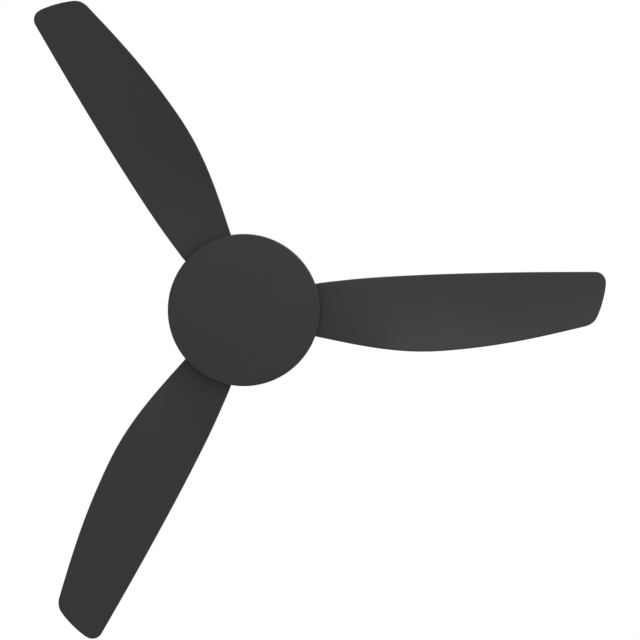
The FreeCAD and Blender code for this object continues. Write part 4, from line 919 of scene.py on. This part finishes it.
def blade_tree():
    """A blade from its outline: rings run in from the edge to a middle line, above and below."""
    sizes = {
        "Along": 560,
        "Across": 29,
        "Cover Radius": 0.138,
        "Span": 0.522,
        "Root Thickness": 0.007,
        "Middle Thickness": 0.0062,
        "Edge Thickness": 0.0034,
        "Pitch": 0.2,
        "Tip Pitch": 0.14,
        "Camber": 0.005,
        "Tip Camber": 0.003,
        "Height": -0.26,
        "Middle Line Start": 0.096,
        "Middle Line End": 0.618,
        "Step": 0.006,
    }
    tree, inp = geometry_tree("moulded_blade", sizes)
    grid_inputs = {"Size X": 1.0, "Size Y": 2.0, "Vertices X": inp["Along"], "Vertices Y": inp["Across"]}
    grid = put(tree, "GeometryNodeMeshGrid", grid_inputs)
    place = add_node(tree, "ShaderNodeSeparateXYZ", {0: put(tree, "GeometryNodeInputPosition")}).outputs
    along = plus(tree, place[0], 0.5)
    side = maths(tree, "SIGN", place[1])
    inward = maths(tree, "ABSOLUTE", place[1])
    # The first rings go round the edge by a quarter turn, and the rest run in to the middle line.
    edge_share = 0.42
    rounded = maths(tree, "MINIMUM", over(tree, inward, edge_share), 1.0)
    quarter = times(tree, rounded, math.pi / 2)
    past_edge = minus(tree, inward, edge_share)
    inner = maths(tree, "MAXIMUM", over(tree, past_edge, 1 - edge_share), 0.0)
    line = put(tree, "GeometryNodeMeshToCurve", {0: inp["Geometry"]})
    sample = add_node(tree, "GeometryNodeSampleCurve", {"Curves": line, "Factor": along}, mode="FACTOR")
    rim = sample.outputs["Position"]
    rim_x = put(tree, "ShaderNodeSeparateXYZ", {0: rim})

    def width(column, x):
        """Distance of one edge from the radial line, by a smooth curve through the stations."""
        share = over(tree, minus(tree, x, inp["Cover Radius"]), inp["Span"])
        curve = add_node(tree, "ShaderNodeFloatCurve", {"Value": share})
        points = curve.mapping.curves[0].points
        stations = [(row[0], row[column]) for row in blade_widths + blade_tip_widths]
        while len(points) < len(stations):
            points.new(0.5, 0.5)
        for point, (station, wide) in zip(points, stations):
            point.location = (station, wide / 100)
        curve.mapping.update()
        return times(tree, curve.outputs[0], 0.1)

    steps = maths(tree, "ROUND", over(tree, rim_x, inp["Step"]))
    snapped = times(tree, steps, inp["Step"])
    limits = {0: snapped, 1: inp["Middle Line Start"], 2: inp["Middle Line End"]}
    line_x = put(tree, "ShaderNodeClamp", limits)
    line_y = times(tree, minus(tree, width(2, line_x), width(1, line_x)), 0.5)
    line = put(tree, "ShaderNodeCombineXYZ", {0: line_x, 1: line_y})
    inset = put(tree, "ShaderNodeVectorMath", {0: line, 1: rim}, operation="SUBTRACT")
    towards = put(tree, "ShaderNodeVectorMath", {0: inset}, operation="NORMALIZE")
    rounding = times(tree, inp["Edge Thickness"], 0.5)
    depth = times(tree, rounding, minus(tree, 1.0, maths(tree, "COSINE", quarter)))
    pulled = put(tree, "ShaderNodeVectorMath", {0: towards, "Scale": depth}, operation="SCALE")
    edge = put(tree, "ShaderNodeVectorMath", {0: rim, 1: pulled}, operation="ADD")
    flat = add_node(tree, "ShaderNodeMix", {0: inner, 4: edge, 5: line}, data_type="VECTOR")
    spot = add_node(tree, "ShaderNodeSeparateXYZ", {0: flat.outputs[1]}).outputs
    x, y = spot[0], spot[1]
    share = over(tree, minus(tree, x, inp["Cover Radius"]), inp["Span"])

    def ease(low, high):
        """Runs smoothly from 0 to 1 between two shares of the span."""
        inputs = {0: share, 1: low, 2: high, 3: 0.0, 4: 1.0}
        return put(tree, "ShaderNodeMapRange", inputs, interpolation_type="SMOOTHSTEP")

    rise, fade = ease(0.0, 0.30), ease(0.30, 1.0)

    def between(a, b, factor):
        """A value between two others."""
        return plus(tree, a, times(tree, factor, minus(tree, b, a)))

    pitch = times(tree, rise, between(inp["Pitch"], inp["Tip Pitch"], fade))
    camber = times(tree, rise, between(inp["Camber"], inp["Tip Camber"], fade))
    middle_thickness = between(inp["Root Thickness"], inp["Middle Thickness"], rise)
    edge_thickness = between(inp["Root Thickness"], inp["Edge Thickness"], rise)
    ahead, behind = width(1, x), width(2, x)
    centre = times(tree, minus(tree, behind, ahead), 0.5)
    half = times(tree, plus(tree, behind, ahead), 0.5)
    off = over(tree, minus(tree, y, centre), half)
    crown = minus(tree, 1.0, times(tree, off, off))
    thickness = between(edge_thickness, middle_thickness, crown)
    swell = times(tree, times(tree, thickness, 0.5), maths(tree, "SINE", quarter))
    lean = times(tree, maths(tree, "TANGENT", pitch), y)
    hollow = times(tree, camber, crown)
    level = minus(tree, plus(tree, inp["Height"], hollow), lean)
    z = plus(tree, level, times(tree, side, swell))
    final = put(tree, "ShaderNodeCombineXYZ", {0: x, 1: y, 2: z})
    shaped = put(tree, "GeometryNodeSetPosition", {"Geometry": grid, "Position": final})
    sealed = put(tree, "GeometryNodeMergeByDistance", {"Geometry": shaped, "Distance": 2e-5})
    close_tree(tree, sealed, inp)
    return tree


def closed_loop(name, points):
    """A mesh of edges only, round a closed line."""
    loop = bpy.data.meshes.new(name)
    count = len(points)
    loop.from_pydata([(p.x, p.y, 0.0) for p in points], [(k, (k + 1) % count) for k in range(count)], [])
    return loop


low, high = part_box("blade_gaskets")
root_thickness = 7 * MM
blade_plastic = finish(
    "blade_plastic", mould_texture, scale=1400, colours=CHARCOAL,
    roughness=(0.44, 0.54), bump=(0.22, 0.0003), Specular_IOR_Level=0.35,
)
blade_sizes = {
    "Cover Radius": cover_radius,
    "Span": blade_span,
    "Root Thickness": root_thickness,
    "Pitch": math.radians(12.0),
    "Tip Pitch": math.radians(8.0),
    "Height": low.z - root_thickness / 2,
}
blade_outline = closed_loop("blade_outline", outline)
blade_mesh = smooth(grow(blade_tree(), blade_outline, blade_plastic, blade_sizes), 40.0)
for k in range(3):
    copy = blade_mesh.copy()
    copy.transform(Matrix.Rotation(math.radians(120 * k), 4, "Z"))
    piece(f"moulded_blade_{k + 1}", copy, blade_plastic, "rotor", "blade_plastic", f"blade_{k + 1}")

fibre = effect_group("pressed_fibre", fibre_effect)
gasket = finish(
    "gasket_fibre", fibre, scale=260, colours=((0.05, 0.03, 0.02), (0.12, 0.08, 0.05)),
    roughness=(0.8, 0.9), bump=(0.3, 0.0003),
)
dress(gasket, "blade_gaskets")

low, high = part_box("blade_screws")
root_screw = {"Head Radius": 5.5 * MM, "Head Height": 3.2 * MM, "Thread Radius": 2.5 * MM, "Pitch": 0.8 * MM}
root_holes = ((92 * MM, 0), (112 * MM, 30 * MM), (112 * MM, -30 * MM))
seats = []
for x, y in root_holes:
    seats += around((x, y, low.z + root_screw["Head Height"]), 3)
outs = [down] * len(seats)
screws("blade_root_screws", "blade_screws", "rotor", "black_screw_steel", seats, outs, 13 * MM, root_screw)

# ------------------------------------------------------------------------------------------------------------
# Light plate and lower cover. The plate is pressed steel on the end of the still shaft, with notches for the
# cover's three hooks. The cover is a shallow ABS dish that twists on to it and closes the fan from below.

dress(zinc, "light_plate", "light_plate_washer")

low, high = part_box("lower_cover")
cover_wall = 2.5 * MM
cover_top = low.z + 20 * MM
crown = 6 * MM
crown_curve = (cover_radius**2 + crown**2) / (2 * crown)


def crowned_floor(curve, bottom, rim, count=48):
    """Profile points of a shallow spherical cap, from the axis out to the rim."""
    radii = [rim * k / (count - 1) for k in range(count)]
    return [(r, bottom + curve - math.sqrt(curve**2 - r**2), 0) for r in radii]


inner_radius = cover_radius - cover_wall
shoulder_z = low.z + crown
outer_floor = crowned_floor(crown_curve, low.z, cover_radius - 4 * MM)
inner_floor = crowned_floor(crown_curve - cover_wall, low.z + cover_wall, inner_radius - 2 * MM)
profile = outer_floor + [
    (cover_radius, shoulder_z, 3 * MM),
    (cover_radius, cover_top, 0.8 * MM),
    (inner_radius, cover_top, 0.8 * MM),
    (inner_radius, shoulder_z + 2.4 * MM, 0.6 * MM),
]
profile += inner_floor[::-1]


def hook_tree():
    """Bent hooks inside the cover, each a post with a lug, repeated about the axis."""
    sizes = {
        "Count": 3,
        "Circle": 0.125,
        "Wall": 0.003,
        "Width": 0.022,
        "Reach": 0.007,
        "Floor": -0.289,
        "Lug Low": -0.273,
        "Top": -0.271,
    }
    tree, inp = geometry_tree("cover_hooks", sizes)

    def beam(x0, x1, z0, z1):
        """A box between two radii and two heights, across the hook's width."""
        length = minus(tree, x1, x0)
        height = minus(tree, z1, z0)
        size = put(tree, "ShaderNodeCombineXYZ", {0: length, 1: inp["Width"], 2: height})
        cube_inputs = {"Size": size, "Vertices X": 3, "Vertices Y": 9, "Vertices Z": 5}
        cube = put(tree, "GeometryNodeMeshCube", cube_inputs)
        centre_x = times(tree, plus(tree, x0, x1), 0.5)
        centre_z = times(tree, plus(tree, z0, z1), 0.5)
        return moved(tree, cube, centre_x, centre_z)

    outer = plus(tree, inp["Circle"], inp["Wall"])
    inner = minus(tree, inp["Circle"], inp["Reach"])
    post = beam(inp["Circle"], outer, inp["Floor"], inp["Top"])
    lug = beam(inner, outer, inp["Lug Low"], inp["Top"])
    # Three quarters of a step puts the first hook on Y.
    hooks = ring_of(tree, union(tree, post, lug), inp["Count"], 0.75)
    close_tree(tree, joined(tree, (inp["Geometry"], hooks)), inp)
    return tree


dish = lathe("dish", bend_corners(profile, 12), 216)
hook_sizes = {
    "Circle": 125 * MM,
    "Floor": shoulder_z,
    "Lug Low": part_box("light_plate")[1].z + 0.4 * MM,
    "Top": high.z,
}
dish = smooth(grow(hook_tree(), dish, charcoal, hook_sizes), 30.0)
piece("twist_cover", dish, charcoal, "lower_cover", "charcoal_plastic", "lower_cover")

# ------------------------------------------------------------------------------------------------------------
# Camera, floor and light. The camera looks straight up at the fan from far below, a little to the side of its
# axis. The floor is plain and pale, and lies lower still. Two square soft lights stand in front, and the rest
# of the light comes evenly from a pale sky.

blade_low, blade_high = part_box("blade_1")
blade_level = (blade_low.z + blade_high.z) / 2
view_width = 1.1621
lens = 300.0
sensor = 36.0
view_centre = Vector((0.1380, 0.0180, blade_level))
distance = view_width * lens / sensor
camera_data = bpy.data.cameras.new("camera")
camera_data.lens = lens
camera_data.sensor_width = sensor
camera_data.clip_end = 200.0
camera = bpy.data.objects.new("camera", camera_data)
look_up = Matrix.Rotation(math.pi, 4, "X")
camera.matrix_world = Matrix.Translation(view_centre - Vector((0, 0, distance))) @ look_up
bpy.context.scene.collection.objects.link(camera)
bpy.context.scene.camera = camera

floor_level = -14.0
floor_half = 400.0
corners = [(x * floor_half, y * floor_half, floor_level) for x, y in ((-1, -1), (1, -1), (1, 1), (-1, 1))]
floor_mesh = bpy.data.meshes.new("floor")
floor_mesh.from_pydata(corners, [], [(0, 1, 2, 3)])
floor_paint = finish(
    "floor_paint", flow_marks, scale=0.05, colours=((0.81, 0.81, 0.80), (0.83, 0.83, 0.82)),
    roughness=(0.8, 0.85), bump=(0.0, 0.001),
)
floor_mesh.materials.append(floor_paint)
floor = bpy.data.objects.new("floor", floor_mesh)
bpy.context.scene.collection.objects.link(floor)


def soft_light(name, place, aim, size, watts):
    """A square area light that faces a point."""
    data = bpy.data.lights.new(name, "AREA")
    data.size = size
    data.energy = watts
    lamp = bpy.data.objects.new(name, data)
    turn = (aim - place).to_track_quat("-Z", "Y").to_matrix().to_4x4()
    lamp.matrix_world = Matrix.Translation(place) @ turn
    bpy.context.scene.collection.objects.link(lamp)


hub = Vector((0, 0, blade_level))
white = (1.0, 1.0, 1.0, 1.0)
soft_light("key", Vector((2.4, -2.4, -1.6)), hub, 1.6, 94)
soft_light("front", Vector((0.3, -2.2, -2.2)), hub, 1.6, 13)
sky = bpy.data.lights.new("sky", "SUN")
sky.angle = math.radians(70.0)
sky.energy = 1.06
bpy.context.scene.collection.objects.link(bpy.data.objects.new("sky", sky))

world = bpy.data.worlds.new("studio")
bpy.context.scene.world = world
world.use_nodes = True
tree = world.node_tree
background = tree.nodes["Background"]
background.inputs["Color"].default_value = white
background.inputs["Strength"].default_value = 0.605
seen = put(tree, "ShaderNodeBackground", {"Color": white, "Strength": 1.0})
in_view = add_node(tree, "ShaderNodeLightPath").outputs["Is Camera Ray"]
surroundings = put(tree, "ShaderNodeMixShader", {0: in_view, 1: background.outputs[0], 2: seen})
tree.links.new(surroundings, tree.nodes["World Output"].inputs["Surface"])
bpy.context.scene.view_settings.view_transform = "Standard"
